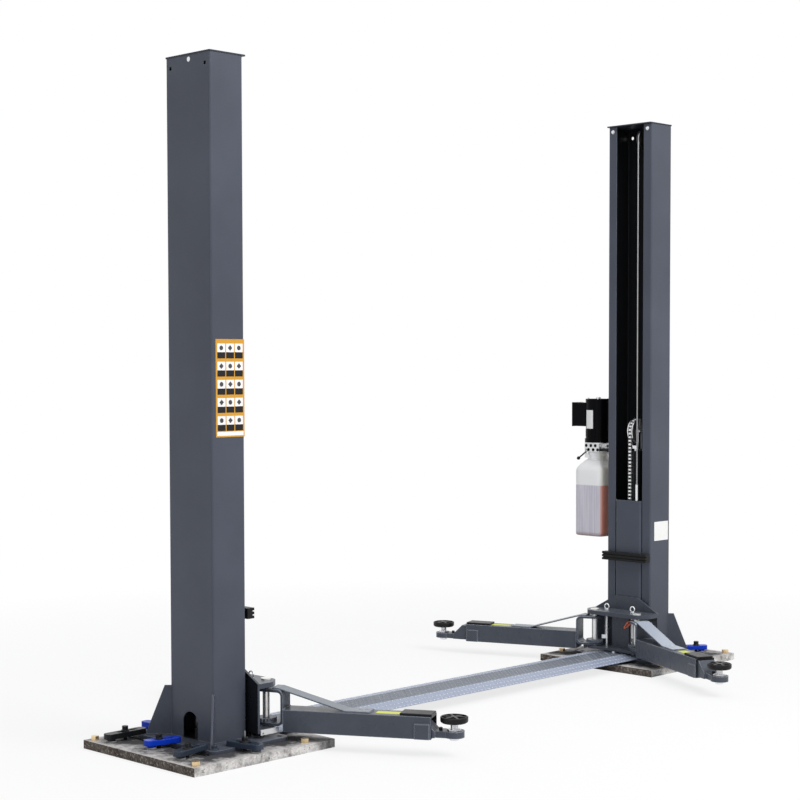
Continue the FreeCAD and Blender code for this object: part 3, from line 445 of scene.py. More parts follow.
PAINT = {
    "column_paint": column_paint(),
    "arm_paint": arm_paint(),
    # Cover slopes painted lighter than the top: painted light.
    "cover_paint": cover_paint("cover_paint", rgb(0.32, 0.37, 0.49), rgb(0.110, 0.130, 0.170), roughness=0.36,
                               dust=0.10, wear=0.2),
    "slab_stone": weathered_slab(),
    "brass_bolt": bare_metal("brass_bolt", rgb(0.80, 0.62, 0.36), roughness=0.34, stain=0.15),
    "black_paint": sprayed("black_paint", rgb(0.008, 0.009, 0.011), roughness=0.30, dust=0.05, wear=0.2,
                           gloss=0.18, wear_width=0.006),
    # Clamp edges carry a painted highlight along the stretches between chips.
    "slate_paint": sprayed("slate_clamp_paint", rgb(0.026, 0.038, 0.060), roughness=0.24, dust=0.05, wear=0.4,
                           wear_width=0.007, under=rgb(0.22, 0.25, 0.30), rub=0.6),
    "blue_paint": sprayed("blue_paint", rgb(0.003, 0.045, 0.56), roughness=0.30, dust=0.02, wear=0.1,
                          gloss=0.15, wear_width=0.007),
    "zinc_steel": bare_metal("zinc_steel", rgb(0.80, 0.81, 0.83), roughness=0.30, stain=0.10),
    "rope_steel": bare_metal("rope_steel", rgb(0.42, 0.42, 0.43), roughness=0.38, stain=0.25),
    "chain_steel": bare_metal("chain_steel", rgb(0.22, 0.22, 0.22), roughness=0.38, stain=0.5),
    "rod_chrome": bare_metal("rod_chrome", rgb(0.72, 0.73, 0.75), roughness=0.16, stain=0.05),
    "rubber_black": moulded("black_rubber", rgb(0.008, 0.008, 0.009), roughness=0.36, dust=0.04, gloss=0.18),
    "slide_nylon": moulded("slide_nylon", rgb(0.62, 0.60, 0.52), roughness=0.45),
    "tank_plastic": tank_plastic(),
    "pump_aluminium": bare_metal("pump_aluminium", rgb(0.66, 0.67, 0.68), roughness=0.36, stain=0.12),
    "motor_black": sprayed("motor_black", rgb(0.002, 0.002, 0.003), roughness=0.26, dust=0.02, wear=0.0,
                           gloss=0.05),
}
CARD_WHITE = moulded("card_white", rgb(0.90, 0.90, 0.89), roughness=0.45, dust=0.05)
CARD_ORANGE = moulded("card_orange", rgb(0.66, 0.33, 0.04), roughness=0.45, dust=0.05)
CARD_INK = moulded("card_ink", rgb(0.06, 0.06, 0.065), roughness=0.45, dust=0.0)
CARD_BLACK = moulded("card_black", rgb(0.004, 0.004, 0.006), roughness=0.45, dust=0.05)
STICKER_YELLOW = moulded("sticker_yellow", rgb(0.66, 0.70, 0.08), roughness=0.45, dust=0.2)
CORD_ORANGE = moulded("cord_orange", rgb(1.0, 0.22, 0.09), roughness=0.5, dust=0.0)
WHITE_ZINC = moulded("white_zinc", rgb(0.84, 0.85, 0.86), roughness=0.35, dust=0.05, gloss=0.6)
CAP_PAINT = sprayed("cap_paint", rgb(0.030, 0.035, 0.046), wear=0.1, dust=0.10)
HEEL_STEEL = moulded("heel_steel", rgb(0.20, 0.20, 0.20), roughness=0.4, dust=0.1, gloss=0.5)
SHEAVE_STEEL = bare_metal("sheave_steel", rgb(0.12, 0.12, 0.12), roughness=0.5, stain=0.5)
WHEEL_STEEL = bare_metal("wheel_steel", rgb(0.90, 0.90, 0.91), roughness=0.30, stain=0.15)
# Lozenges on the slopes painted lighter than those on the top: painted light.
LOZENGE_PAINT = cover_paint("lozenge_paint", rgb(0.84, 0.88, 0.96), rgb(0.44, 0.48, 0.54), roughness=0.34,
                            dust=0.0, wear=0.0)
PIN_ZINC = bare_metal("pin_zinc", rgb(0.86, 0.86, 0.84), roughness=0.42, stain=0.08)
# The yoke's face towards the column is near black: painted shade from the column.
YOKE_PAINT = masked_paint("slate_yoke_paint", rgb(0.060, 0.070, 0.092), "X", FRONT_X - 0.0012,
                          FRONT_X - 0.0006, rgb(0.008, 0.009, 0.012), roughness=0.28, wear=0.5,
                          wear_width=0.0035)
OTHER_FINISH = {
    "arm_pins_left": PIN_ZINC,
    "arm_pins_right": PIN_ZINC,
    "stop_plates_left": WHITE_ZINC,
    "stop_plates_right": WHITE_ZINC,
    "column_caps": CAP_PAINT,
    "yoke_left": YOKE_PAINT,
    "yoke_right": YOKE_PAINT,
    "sheaves": SHEAVE_STEEL,
    "chain_wheel_left": WHEEL_STEEL,
    "chain_wheel_right": WHEEL_STEEL,
    "lowering_lever": PAINT["black_paint"],
}

for name, node in frame["nodes"].items():
    slots = node.get("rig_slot") or (node.material_slots[0].name if node.material_slots else "")
    label = slots.split(".")[0]
    if label in PAINT:
        node.data.materials.clear()
        node.data.materials.append(OTHER_FINISH.get(name, PAINT[label]))


# Meshes

def piece(name, shape, finish, body="root", smooth=False, bevel=0.0):
    """Mesh object in the lift's own frame that moves with a body; finish is a paint's label or a material."""
    points, faces = shape
    mesh = bpy.data.meshes.new(name)
    mesh.from_pydata([tuple(p) for p in points], [], faces)
    mesh.update()
    mesh.materials.append(PAINT[finish] if isinstance(finish, str) else finish)
    obj = bpy.data.objects.new(name, mesh)
    bpy.context.scene.collection.objects.link(obj)
    if bevel:
        rounding = obj.modifiers.new("rounding", "BEVEL")
        rounding.width = bevel
        rounding.segments = 2
        rounding.limit_method = "ANGLE"
        obj.data = bpy.data.meshes.new_from_object(obj.evaluated_get(bpy.context.evaluated_depsgraph_get()))
        obj.modifiers.remove(rounding)
    if smooth:
        obj.data.shade_smooth()
        obj.data.set_sharp_from_angle(angle=math.radians(40))
    return settle(obj, body, finish)


def settle(obj, body, finish):
    """Tie an object to its body, and to its slot where the finish is a paint's label."""
    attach(obj, body)
    if isinstance(finish, str):
        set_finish(obj, finish)
    return obj


def block(x0, x1, y0, y1, z0, z1):
    """Points and faces of a plain block."""
    points = [(x, y, z) for z in (z0, z1) for x, y in ((x0, y0), (x1, y0), (x1, y1), (x0, y1))]
    faces = [(0, 3, 2, 1), (4, 5, 6, 7), (0, 1, 5, 4), (1, 2, 6, 5), (2, 3, 7, 6), (3, 0, 4, 7)]
    return points, faces


def joined(shapes):
    """Several point and face lists made one."""
    points, faces = [], []
    for some_points, some_faces in shapes:
        start = len(points)
        points += [Vector(p) for p in some_points]
        faces += [tuple(i + start for i in face) for face in some_faces]
    return points, faces


def moved(shape, matrix):
    points, faces = shape
    return [matrix @ Vector(p) for p in points], faces


def stacked(rings, closed_ends=True):
    """Skin over rings of the same number of points, from the lowest ring to the highest."""
    count = len(rings[0])
    points = [p for ring in rings for p in ring]
    faces = []
    for level in range(len(rings) - 1):
        for i in range(count):
            j = (i + 1) % count
            low, high = level * count, (level + 1) * count
            faces.append((low + i, low + j, high + j, high + i))
    if closed_ends:
        faces.append(tuple(reversed(range(count))))
        faces.append(tuple(range((len(rings) - 1) * count, len(rings) * count)))
    return points, faces


def turns_of(count):
    """Evenly spaced angles round a circle."""
    return [2 * math.pi * i / count for i in range(count)]


def turned_shape(profile, count=32):
    """Closed skin of (radius, height) points turned about Z; the first and last radius may be zero."""
    rings = []
    for radius, height in profile:
        radius = max(radius, 1e-5)
        rings.append([(radius * math.cos(a), radius * math.sin(a), height) for a in turns_of(count)])
    return stacked(rings)


def at(x, y, z=0):
    return Matrix.Translation((x, y, z))


def half_turn(side):
    """Matrix that keeps right-hand pieces and turns them for the left side."""
    return Matrix.Rotation(math.pi if side == "left" else 0.0, 4, "Z")


def arm_matrix(corner):
    """From a frame with the arm along +X and its pivot at the origin to the arm's place on the lift."""
    angle = ARM_REST[corner][0]
    near, left = corner.startswith("near"), corner.endswith("left")
    if left:
        turn = -angle if near else angle
    else:
        turn = 180 + angle if near else 180 - angle
    place = (-PIVOT_X if left else PIVOT_X, -PIVOT_Y if near else PIVOT_Y, 0)
    return Matrix.Translation(place) @ Matrix.Rotation(math.radians(turn), 4, "Z")


# Geometry node trees

KINDS = {float: "Float", int: "Int", tuple: "Vector", type(None): "Object"}


def tree_start(name, inputs):
    """New geometry tree; inputs maps a size's name to its first value, or to None for an object."""
    tree = bpy.data.node_groups.new(name, "GeometryNodeTree")
    tree.interface.new_socket("Geometry", in_out="INPUT", socket_type="NodeSocketGeometry")
    for label, value in inputs.items():
        kind = KINDS[type(value)]
        socket = tree.interface.new_socket(label, in_out="INPUT", socket_type="NodeSocket" + kind)
        if value is not None:
            socket.default_value = value
    tree.interface.new_socket("Material", in_out="INPUT", socket_type="NodeSocketMaterial")
    tree.interface.new_socket("Geometry", in_out="OUTPUT", socket_type="NodeSocketGeometry")
    return tree, tree.nodes.new("NodeGroupInput"), tree.nodes.new("NodeGroupOutput")


def tree_end(tree, start, end, geometry, smooth=False):
    whole = add(tree, "GeometryNodeRealizeInstances", {0: geometry})
    shaded = add(tree, "GeometryNodeSetShadeSmooth", {"Geometry": whole.outputs[0], "Shade Smooth": smooth})
    painted = add(tree, "GeometryNodeSetMaterial",
                  {"Geometry": shaded.outputs[0], "Material": start.outputs["Material"]})
    tree.links.new(painted.outputs[0], end.inputs[0])
    return tree


def grown(name, tree, points, edges, values, slot, body="root", material=None):
    """Bake a tree on points and edges into a plain mesh that moves with a body."""
    seed = bpy.data.meshes.new(name + "_seed")
    seed.from_pydata([tuple(p) for p in points], edges, [])
    obj = bpy.data.objects.new(name, seed)
    bpy.context.scene.collection.objects.link(obj)
    modifier = obj.modifiers.new("grown", "NODES")
    modifier.node_group = tree
    given = {**values, "Material": material or PAINT[slot]}
    for item in tree.interface.items_tree:
        if item.in_out == "INPUT" and item.name in given:
            modifier[item.identifier] = given[item.name]
    baked = bpy.data.meshes.new_from_object(obj.evaluated_get(bpy.context.evaluated_depsgraph_get()))
    obj.modifiers.remove(modifier)
    obj.data = baked
    return settle(obj, body, slot)


def chain_of(points):
    return [(i, i + 1) for i in range(len(points) - 1)]


def moved_up(tree, geometry, height):
    place = add(tree, "ShaderNodeCombineXYZ", {"Z": height})
    values = {"Geometry": geometry, "Translation": place.outputs[0]}
    return add(tree, "GeometryNodeTransform", values).outputs[0]


def on_points(tree, points, shape, **more):
    """Copies of a shape, one at each point."""
    return add(tree, "GeometryNodeInstanceOnPoints", {"Points": points, "Instance": shape, **more}).outputs[0]


def swept(tree, path, profile):
    """Solid bar: a profile carried along a path."""
    values = {"Curve": path, "Profile Curve": profile, "Fill Caps": True}
    return add(tree, "GeometryNodeCurveToMesh", values).outputs[0]


def even_line(tree, mesh, spacing):
    """The seed's lines as curves, with points at an even spacing."""
    line = add(tree, "GeometryNodeMeshToCurve", {0: mesh}).outputs[0]
    values = {"Curve": line, "Length": spacing}
    return add(tree, "GeometryNodeResampleCurve", values, mode="LENGTH").outputs[0]


def phase_along(tree, period):
    """Angle that turns once round in each period along a line."""
    along = add(tree, "GeometryNodeSplineParameter").outputs["Length"]
    return maths(tree, "MULTIPLY", maths(tree, "DIVIDE", along, period), 2 * math.pi)


def bar_profile(tree, sides, radius):
    return add(tree, "GeometryNodeCurvePrimitiveCircle", {"Resolution": sides, "Radius": radius}).outputs[0]


def hex_bolt_tree():
    """Hexagon head or nut on a round washer, at each point, standing along Turn."""
    tree, start, end = tree_start("hex_bolts", {
        "Across Flats": 0.024, "Head Height": 0.010, "Washer Radius": 0.017, "Washer Thickness": 0.002,
        "Turn": (0, 0, 0)})
    size = start.outputs
    flats, height, thickness = size["Across Flats"], size["Head Height"], size["Washer Thickness"]
    washer = add(tree, "GeometryNodeMeshCylinder", {"Vertices": 24, "Radius": size["Washer Radius"],
                                                    "Depth": thickness})
    washer = moved_up(tree, washer.outputs[0], maths(tree, "MULTIPLY", thickness, 0.5))
    reach = maths(tree, "DIVIDE", flats, math.sqrt(3))
    head = add(tree, "GeometryNodeMeshCylinder", {"Vertices": 6, "Radius": reach, "Depth": height})
    head = moved_up(tree, head.outputs[0], maths(tree, "MULTIPLY_ADD", height, 0.5, thickness))
    crown = add(tree, "GeometryNodeMeshCone", {
        "Vertices": 24, "Radius Bottom": maths(tree, "MULTIPLY", flats, 0.48),
        "Radius Top": maths(tree, "MULTIPLY", flats, 0.42), "Depth": maths(tree, "MULTIPLY", height, 0.1)})
    crown = moved_up(tree, crown.outputs[0], maths(tree, "ADD", thickness, height))
    whole = add(tree, "GeometryNodeJoinGeometry")
    for part in (washer, head, crown):
        tree.links.new(part, whole.inputs[0])
    return tree_end(tree, start, end, on_points(tree, size[0], whole.outputs[0], Rotation=size["Turn"]))


def weld_tree():
    """Rippled bead along each line."""
    tree, start, end = tree_start("weld_beads", {"Radius": 0.003, "Ripple": 0.006})
    size = start.outputs
    fine = even_line(tree, size[0], maths(tree, "DIVIDE", size["Ripple"], 3.0))
    swell = maths(tree, "MULTIPLY", maths(tree, "SINE", phase_along(tree, size["Ripple"])), 0.14)
    wander = add(tree, "ShaderNodeTexNoise", {"Scale": 60.0}).outputs[0]
    width = maths(tree, "ADD", maths(tree, "ADD", swell, wander), 0.5)
    sized = add(tree, "GeometryNodeSetCurveRadius", {"Curve": fine, "Radius": width}).outputs[0]
    bead = swept(tree, sized, bar_profile(tree, 7, size["Radius"]))
    return tree_end(tree, start, end, bead, smooth=True)


def strand_tree():
    """Wire rope of six strands laid round each other along a line."""
    tree, start, end = tree_start("laid_rope", {"Radius": 0.0045, "Lay": 0.07})
    size = start.outputs
    fine = even_line(tree, size[0], maths(tree, "DIVIDE", size["Lay"], 9.0))
    turn = phase_along(tree, size["Lay"])
    tilted = add(tree, "GeometryNodeSetCurveTilt", {"Curve": fine, "Tilt": turn}).outputs[0]
    index = add(tree, "GeometryNodeInputIndex").outputs[0]
    lobes = maths(tree, "COSINE", maths(tree, "MULTIPLY", index, 2 * math.pi / 3))
    reach = maths(tree, "ADD", maths(tree, "MULTIPLY", lobes, 0.09), 0.91)
    place = add(tree, "GeometryNodeInputPosition").outputs[0]
    scaled = add(tree, "ShaderNodeVectorMath", {0: place, "Scale": reach}, operation="SCALE").outputs[0]
    lobed = add(tree, "GeometryNodeSetPosition", {"Geometry": bar_profile(tree, 18, size["Radius"]),
                                                  "Position": scaled}).outputs[0]
    return tree_end(tree, start, end, swept(tree, tilted, lobed), smooth=True)


def spring_tree():
    """Round-wire spring standing on each point."""
    tree, start, end = tree_start("coil_springs", {"Radius": 0.010, "Wire": 0.0012, "Height": 0.1,
                                                   "Turns": 16.0})
    size = start.outputs
    helix = add(tree, "GeometryNodeCurveSpiral", {
        "Resolution": 14, "Rotations": size["Turns"], "Start Radius": size["Radius"],
        "End Radius": size["Radius"], "Height": size["Height"]}).outputs[0]
    coil = swept(tree, helix, bar_profile(tree, 6, size["Wire"]))
    return tree_end(tree, start, end, on_points(tree, size[0], coil), smooth=True)


def link_tree():
    """Copies of a link's plates, a roller or a rivet at an even spacing along a line in the X-Z plane."""
    tree, start, end = tree_start("chain_links", {"Spacing": 0.038, "First": 0.0095, "Shape": None})
    size = start.outputs
    line = add(tree, "GeometryNodeMeshToCurve", {0: size[0]}).outputs[0]
    rest = add(tree, "GeometryNodeTrimCurve", {"Curve": line}, mode="LENGTH")
    length = add(tree, "GeometryNodeCurveLength", {0: line}).outputs[0]
    for socket in rest.inputs:
        if socket.name == "Start":
            tree.links.new(size["First"], socket)
        if socket.name == "End":
            tree.links.new(length, socket)
    spots = add(tree, "GeometryNodeCurveToPoints", {"Curve": rest.outputs[0], "Length": size["Spacing"]},
                mode="LENGTH").outputs
    turn = add(tree, "FunctionNodeAlignRotationToVector", {"Vector": spots["Tangent"]}, axis="Z",
               pivot_axis="Y").outputs[0]
    shape = add(tree, "GeometryNodeObjectInfo", {"Object": size["Shape"]}).outputs["Geometry"]
    return tree_end(tree, start, end, on_points(tree, spots["Points"], shape, Rotation=turn))


def lozenge_tree():
    """Raised lozenges of chequer plate, turned this way and that in turn."""
    tree, start, end = tree_start("chequer_lozenges", {
        "Length": 2.5, "Width": 0.1, "Columns": 80, "Rows": 5, "Long": 0.011, "Short": 0.0036, "Rise": 0.0012,
        "Lean": (0, 0, 0)})
    size = start.outputs
    grid = add(tree, "GeometryNodeMeshGrid", {"Size X": size["Length"], "Size Y": size["Width"],
                                              "Vertices X": size["Columns"], "Vertices Y": size["Rows"]})
    odd = maths(tree, "MODULO", add(tree, "GeometryNodeInputIndex").outputs[0], 2.0)
    angle = maths(tree, "MULTIPLY_ADD", odd, math.pi / 2, math.pi / 4)
    turn = add(tree, "ShaderNodeCombineXYZ", {"Z": angle}).outputs[0]
    cone = add(tree, "GeometryNodeMeshCone", {"Vertices": 4, "Radius Bottom": 1.0, "Radius Top": 0.45,
                                              "Depth": 1.0})
    form = add(tree, "ShaderNodeCombineXYZ", {"X": size["Long"], "Y": size["Short"], "Z": size["Rise"]})
    lozenge = add(tree, "GeometryNodeTransform", {"Geometry": cone.outputs[0], "Scale": form.outputs[0]})
    placed = on_points(tree, grid.outputs[0], lozenge.outputs[0], Rotation=turn)
    leaned = add(tree, "GeometryNodeTransform", {"Geometry": placed, "Rotation": size["Lean"]})
    return tree_end(tree, start, end, on_points(tree, size[0], leaned.outputs[0]))


def spoke_tree():
    """Straight ribs set round each point, from the middle out to the rim."""
    tree, start, end = tree_start("pad_spokes", {"Count": 8, "Ring Radius": 0.03, "Long": 0.03,
                                                 "Thick": 0.006, "Rise": 0.006})
    size = start.outputs
    ring = add(tree, "GeometryNodeMeshCircle", {"Vertices": size["Count"], "Radius": size["Ring Radius"]})
    share = maths(tree, "DIVIDE", add(tree, "GeometryNodeInputIndex").outputs[0], size["Count"])
    turn = add(tree, "ShaderNodeCombineXYZ", {"Z": maths(tree, "MULTIPLY", share, 2 * math.pi)}).outputs[0]
    form = add(tree, "ShaderNodeCombineXYZ", {"X": size["Long"], "Y": size["Thick"], "Z": size["Rise"]})
    rib = add(tree, "GeometryNodeMeshCube", {"Size": form.outputs[0]})
    ribs = on_points(tree, ring.outputs[0], rib.outputs[0], Rotation=turn)
    return tree_end(tree, start, end, on_points(tree, size[0], ribs))


BOLTS = hex_bolt_tree()
WELDS = weld_tree()
STRANDS = strand_tree()
SPRINGS = spring_tree()
LINKS = link_tree()
LOZENGES = lozenge_tree()
SPOKES = spoke_tree()


def bolts(name, points, sizes, slot="zinc_steel", turn=(0.0, 0.0, 0.0)):
    """Bolts of one size: across flats, head height, washer radius and washer thickness."""
    labels = ("Across Flats", "Head Height", "Washer Radius", "Washer Thickness")
    return grown(name, BOLTS, points, [], {**dict(zip(labels, sizes)), "Turn": turn}, slot)


def weld(name, lines, matrix, radius, slot, body="root"):
    """Weld beads along lines of points, which a matrix puts in place."""
    points, edges = [], []
    for line in lines:
        start = len(points)
        points += [matrix @ Vector(p) for p in line]
        edges += [(start + a, start + b) for a, b in chain_of(line)]
    return grown(name, WELDS, points, edges, {"Radius": radius, "Ripple": 0.007}, slot, body)


# Ropes and chains

def arc_points(x, z, radius, first, last, y, count):
    turns = [math.radians(first + (last - first) * i / count) for i in range(count + 1)]
    return [(x + radius * math.cos(a), y, z + radius * math.sin(a)) for a in turns]


def equalizing_ropes():
    foot = ROPE_FLOOR + SHEAVE_PITCH
    upper, lower = ROPE_ENDS
    path = [(ROPE_FRONT, -ROPE_Y, upper)]
    path += arc_points(SHEAVE_X, SHEAVE_TOP, SHEAVE_PITCH, 180, 0, -ROPE_Y, 20)
    path += arc_points(SHEAVE_X, foot, SHEAVE_PITCH, 0, -90, -ROPE_Y, 10)
    path += arc_points(-SHEAVE_X, foot, SHEAVE_PITCH, -90, -180, -ROPE_Y, 10)
    path += [(-ROPE_BACK, -ROPE_Y, lower)]
    for side in ("right", "left"):
        line = [half_turn(side) @ Vector(p) for p in path]
        name = "equalizing_rope_" + side
        rope = grown(name + "_strands", STRANDS, line, chain_of(line), {"Radius": ROPE_RADIUS, "Lay": 0.07},
                     "rope_steel")
        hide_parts(name)


def link_plate(pitch, offset, thickness, radius):
    """The two waisted plates of one link, each at the offset from the middle."""
    outline = []
    for centre, first in ((pitch / 2, 0), (-pitch / 2, 180)):
        for i in range(7):
            a = math.radians(first + i * 30)
            outline.append((radius * math.cos(a), centre + radius * math.sin(a)))
    outline.insert(7, (-radius * 0.72, 0.0))
    outline.append((radius * 0.72, 0.0))
    shapes = []
    for y in (-offset, offset):
        shapes.append(stacked([[(x, y + side * thickness / 2, z) for x, z in outline] for side in (1, -1)]))
    return joined(shapes)


def across(radius, half, count):
    """Short rod along Y, centred on the origin."""
    return stacked([[(radius * math.cos(a), y, radius * math.sin(a)) for a in turns_of(count)]
                    for y in (half, -half)])


def template(name, shape):
    """Object that the links' tree copies, and that is removed at the end."""
    mesh = bpy.data.meshes.new(name)
    mesh.from_pydata([tuple(p) for p in shape[0]], [], shape[1])
    obj = bpy.data.objects.new(name, mesh)
    bpy.context.scene.collection.objects.link(obj)
    return obj


def lift_chains():
    """Roller chains: dark side plates, bright rollers between them, and their end pins."""
    front, back = CHAIN_X - CHAIN_PITCH_RADIUS, CHAIN_X + CHAIN_PITCH_RADIUS
    front_end, back_end = CHAIN_ENDS
    path = [(front, 0, front_end)]
    path += arc_points(CHAIN_X, WHEEL_Z, CHAIN_PITCH_RADIUS, 180, 0, 0, 36)
    path += [(back, 0, back_end)]
    wide = template("wide_link", link_plate(CHAIN_PITCH, 0.0098, 0.0016, 0.0056))
    narrow = template("narrow_link", link_plate(CHAIN_PITCH, 0.0080, 0.0016, 0.0056))
    roller = template("roller", across(0.0064, 0.0070, 16))
    rivet = template("rivet", across(0.0042, 0.0112, 12))
    kinds = (("wide", wide, 0.5, 2, "chain_steel"), ("narrow", narrow, 1.5, 2, "chain_steel"),
             ("rivets", rivet, 0, 1, "zinc_steel"), ("rollers", roller, 0, 1, "zinc_steel"))
    for side in ("right", "left"):
        line = [half_turn(side) @ Vector(p) for p in path]
        for kind, shape, first, step, slot in kinds:
            grown("lift_chain_%s_%s" % (kind, side), LINKS, line, chain_of(line),
                  {"Spacing": CHAIN_PITCH * step, "First": CHAIN_PITCH * first, "Shape": shape}, slot,
                  "piston_" + side)
        pin = moved(across(0.006, 0.018, 12), at(front, 0, front_end))
        rod = turned_shape([(0.0, 0.056), (0.006, 0.056), (0.006, 0.150), (0.010, 0.152), (0.010, 0.170),
                            (0.0, 0.170)], 16)
        both = moved(joined([pin, moved(rod, at(back, 0))]), half_turn(side))
        ends = piece("lift_chain_ends_" + side, both, "zinc_steel", "piston_" + side, smooth=True)
        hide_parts("lift_chain_" + side)
    for shape in (wide, narrow, roller, rivet):
        bpy.data.objects.remove(shape)


# Floor cover

def chequer():
    """Lozenges on the cover's top and slopes, and the bolt at each of its ends."""
    run, rise = COVER_FOOT_HALF - COVER_TOP_HALF, COVER_TOP - BASE_TOP
    lift, rim = 0.0003, 0.022
    values = {"Length": 2 * COVER_END - 0.03, "Columns": 103, "Rise": 0.0012, "Long": 0.0100, "Short": 0.0036}
    sheets = [("top", 0, COVER_TOP + lift, 2 * COVER_TOP_HALF, 5, 0.0)]
    for side, sign in (("near", -1), ("far", 1)):
        middle = (COVER_FOOT_HALF + COVER_TOP_HALF) / 2
        sheets.append((side, sign * middle, BASE_TOP + rise / 2 + lift, math.hypot(run, rise), 3,
                       -sign * math.atan2(rise, run)))
    for label, y, z, width, rows, lean in sheets:
        grown("cover_lozenges_" + label, LOZENGES, [(0, y, z)], [],
              {**values, "Width": width - rim, "Rows": rows, "Lean": (lean, 0, 0)}, "cover_paint",
              material=LOZENGE_PAINT)
    ends = [(x, 0, COVER_TOP) for x in (0.03 - COVER_END, COVER_END - 0.03)]
    bolts("cover_bolts", ends, (0.019, 0.006, 0.014, 0.0015))


# Columns: cards, bolts at the top, welds at the foot

def placard():
    """Board of blank cells, each with a disc or diamond over a dark strip, and the bare card opposite."""
    x0, x1, z0, z1 = -1.530, -1.381, 1.288, 1.683
    back = -COLUMN_HALF
    face, printed = back - CARD_FACE, back - CARD_PRINT
    piece("placard_board", block(x0, x1, face, back, z0, z1), CARD_ORANGE, bevel=0.0004)
    edge, strip, side_gap, foot_gap = 0.006, 0.022, 0.0025, 0.002
    foot_strip = block(x0 + edge, x1 - edge, printed, face, z0 + edge, z0 + strip)
    piece("placard_foot_strip", foot_strip, CARD_WHITE)
    white, black, ink = [], [], []
    columns, rows = 3, 5
    wide = (x1 - x0 - 2 * edge) / columns
    high = (z1 - z0 - edge - strip - foot_gap) / rows
    for i in range(columns):
        for j in range(rows):
            left, foot = x0 + edge + i * wide, z0 + strip + foot_gap + j * high
            right, odd = left + wide - side_gap, (i + j) % 2
            black.append(block(left + side_gap, right, printed, face, foot + 0.0015, foot + 0.0262))
            white.append(block(left + side_gap, right, printed, face, foot + 0.0266, foot + 0.0612))
            mark = across(0.0095 + 0.0020 * odd, 0.0002, 4 if odd else 20)
            ink.append(moved(mark, at(left + wide / 2, back - 0.0018, foot + 0.0435)))
    piece("placard_white_cells", joined(white), CARD_WHITE)
    piece("placard_black_cells", joined(black), CARD_BLACK)
    piece("placard_plain_marks", joined(ink), CARD_INK)
    piece("column_card", block(1.415, 1.535, face, back, 0.650, 0.750), CARD_WHITE, bevel=0.0004)


def column_bolts():
    points, back_points = [], []
    for side in ("right", "left"):
        for y in (-0.112, 0.112):
            points.append(half_turn(side) @ Vector((HALF_SPAN, y, 2.800)))
        back_points.append(half_turn(side) @ Vector((BACK_X, 0.009, 2.806)))
    for i, point in enumerate(points):
        turn = TO_LEFT if point.x > 0 else TO_RIGHT
        bolts("lip_bolt_%d" % i, [point], (0.013, 0.006, 0.010, 0.0015), turn=turn)
    for i, point in enumerate(back_points):
        turn = TO_RIGHT if point.x > 0 else TO_LEFT
        bolts("back_bolt_%d" % i, [point], (0.016, 0.001, 0.010, 0.0008), turn=turn)


def base_welds():
    z, inset = BASE_TOP + 0.001, 0.003
    for side in ("right", "left"):
        lines = [[(HALF_SPAN, 0.088, z), (HALF_SPAN, COLUMN_HALF, z), (BACK_X, COLUMN_HALF, z),
                  (BACK_X, 0.040, z)],
                 [(BACK_X, -0.060, z), (BACK_X, -COLUMN_HALF, z), (HALF_SPAN, -COLUMN_HALF, z),
                  (HALF_SPAN, -0.088, z)]]
        for sign in (-1, 1):
            corner = Vector((BACK_X - inset, sign * (COLUMN_HALF - inset), 0))
            out = Vector((1, sign, 0)).normalized()
            beside = Vector((1, -sign, 0)).normalized() * 0.004
            for offset in (beside, -beside):
                foot = corner + offset + Vector((0, 0, z))
                lines.append([foot + out * 0.104, foot, corner + offset + Vector((0, 0, BASE_TOP + 0.200))])
        weld("base_welds_" + side, lines, half_turn(side), 0.0032, "column_paint")


# Power unit

def rounded_square(half, z, flutes):
    """Ring of 64 points round a square with round corners; flutes press shallow waves into its flat sides."""
    power = 7.0
    ring = []
    for quarter in range(4):
        for i in range(16):
            a = math.radians(quarter * 90 + (i - 7.5) * 90 / 16 + 45)
            cx, cy = math.cos(a), math.sin(a)
            scale = (abs(cx) ** power + abs(cy) ** power) ** (-1 / power)
            x, y = cx * scale, cy * scale
            wave = flutes * (int(round(a * 32 / math.pi)) % 2)
            ring.append((UNIT_X + x * (half - wave), UNIT_Y + y * (half - wave), z))
    return ring


def oil_tank():
    half = TANK_HALF
    levels = [(0.649, half - 0.010, 0), (0.6505, half - 0.004, 0), (0.656, half - 0.0005, 0),
              (0.668, half, 0), (0.680, half, 0.0010), (0.905, half, 0.0010), (0.918, half, 0),
              (1.000, half, 0), (1.016, half - 0.004, 0), (1.030, half - 0.014, 0), (1.045, half - 0.030, 0),
              (1.056, half - 0.040, 0), (1.0605, half - 0.046, 0)]
    rings = [rounded_square(h, z, flute) for z, h, flute in levels]
    tank = piece("oil_tank_moulding", stacked(rings), "tank_plastic", smooth=True)
    profile = [(0.0, 1.058), (0.0570, 1.058), (0.0570, 1.066), (0.0545, 1.068), (0.0545, 1.086),
               (0.0570, 1.088), (0.0570, 1.1015), (0.050, 1.103), (0.0, 1.103)]
    piece("oil_tank_neck", moved(turned_shape(profile, 40), at(UNIT_X, UNIT_Y)), "tank_plastic", smooth=True)
    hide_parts("oil_tank")
    cap = [(0.0, 0.0), (0.016, 0.0), (0.016, 0.010), (0.0125, 0.012), (0.0125, 0.016), (0.0, 0.016)]
    spot = at(UNIT_X + 0.052, UNIT_Y + 0.052, 1.046)
    piece("oil_filler_cap", moved(turned_shape(cap, 24), spot), "motor_black", smooth=True)


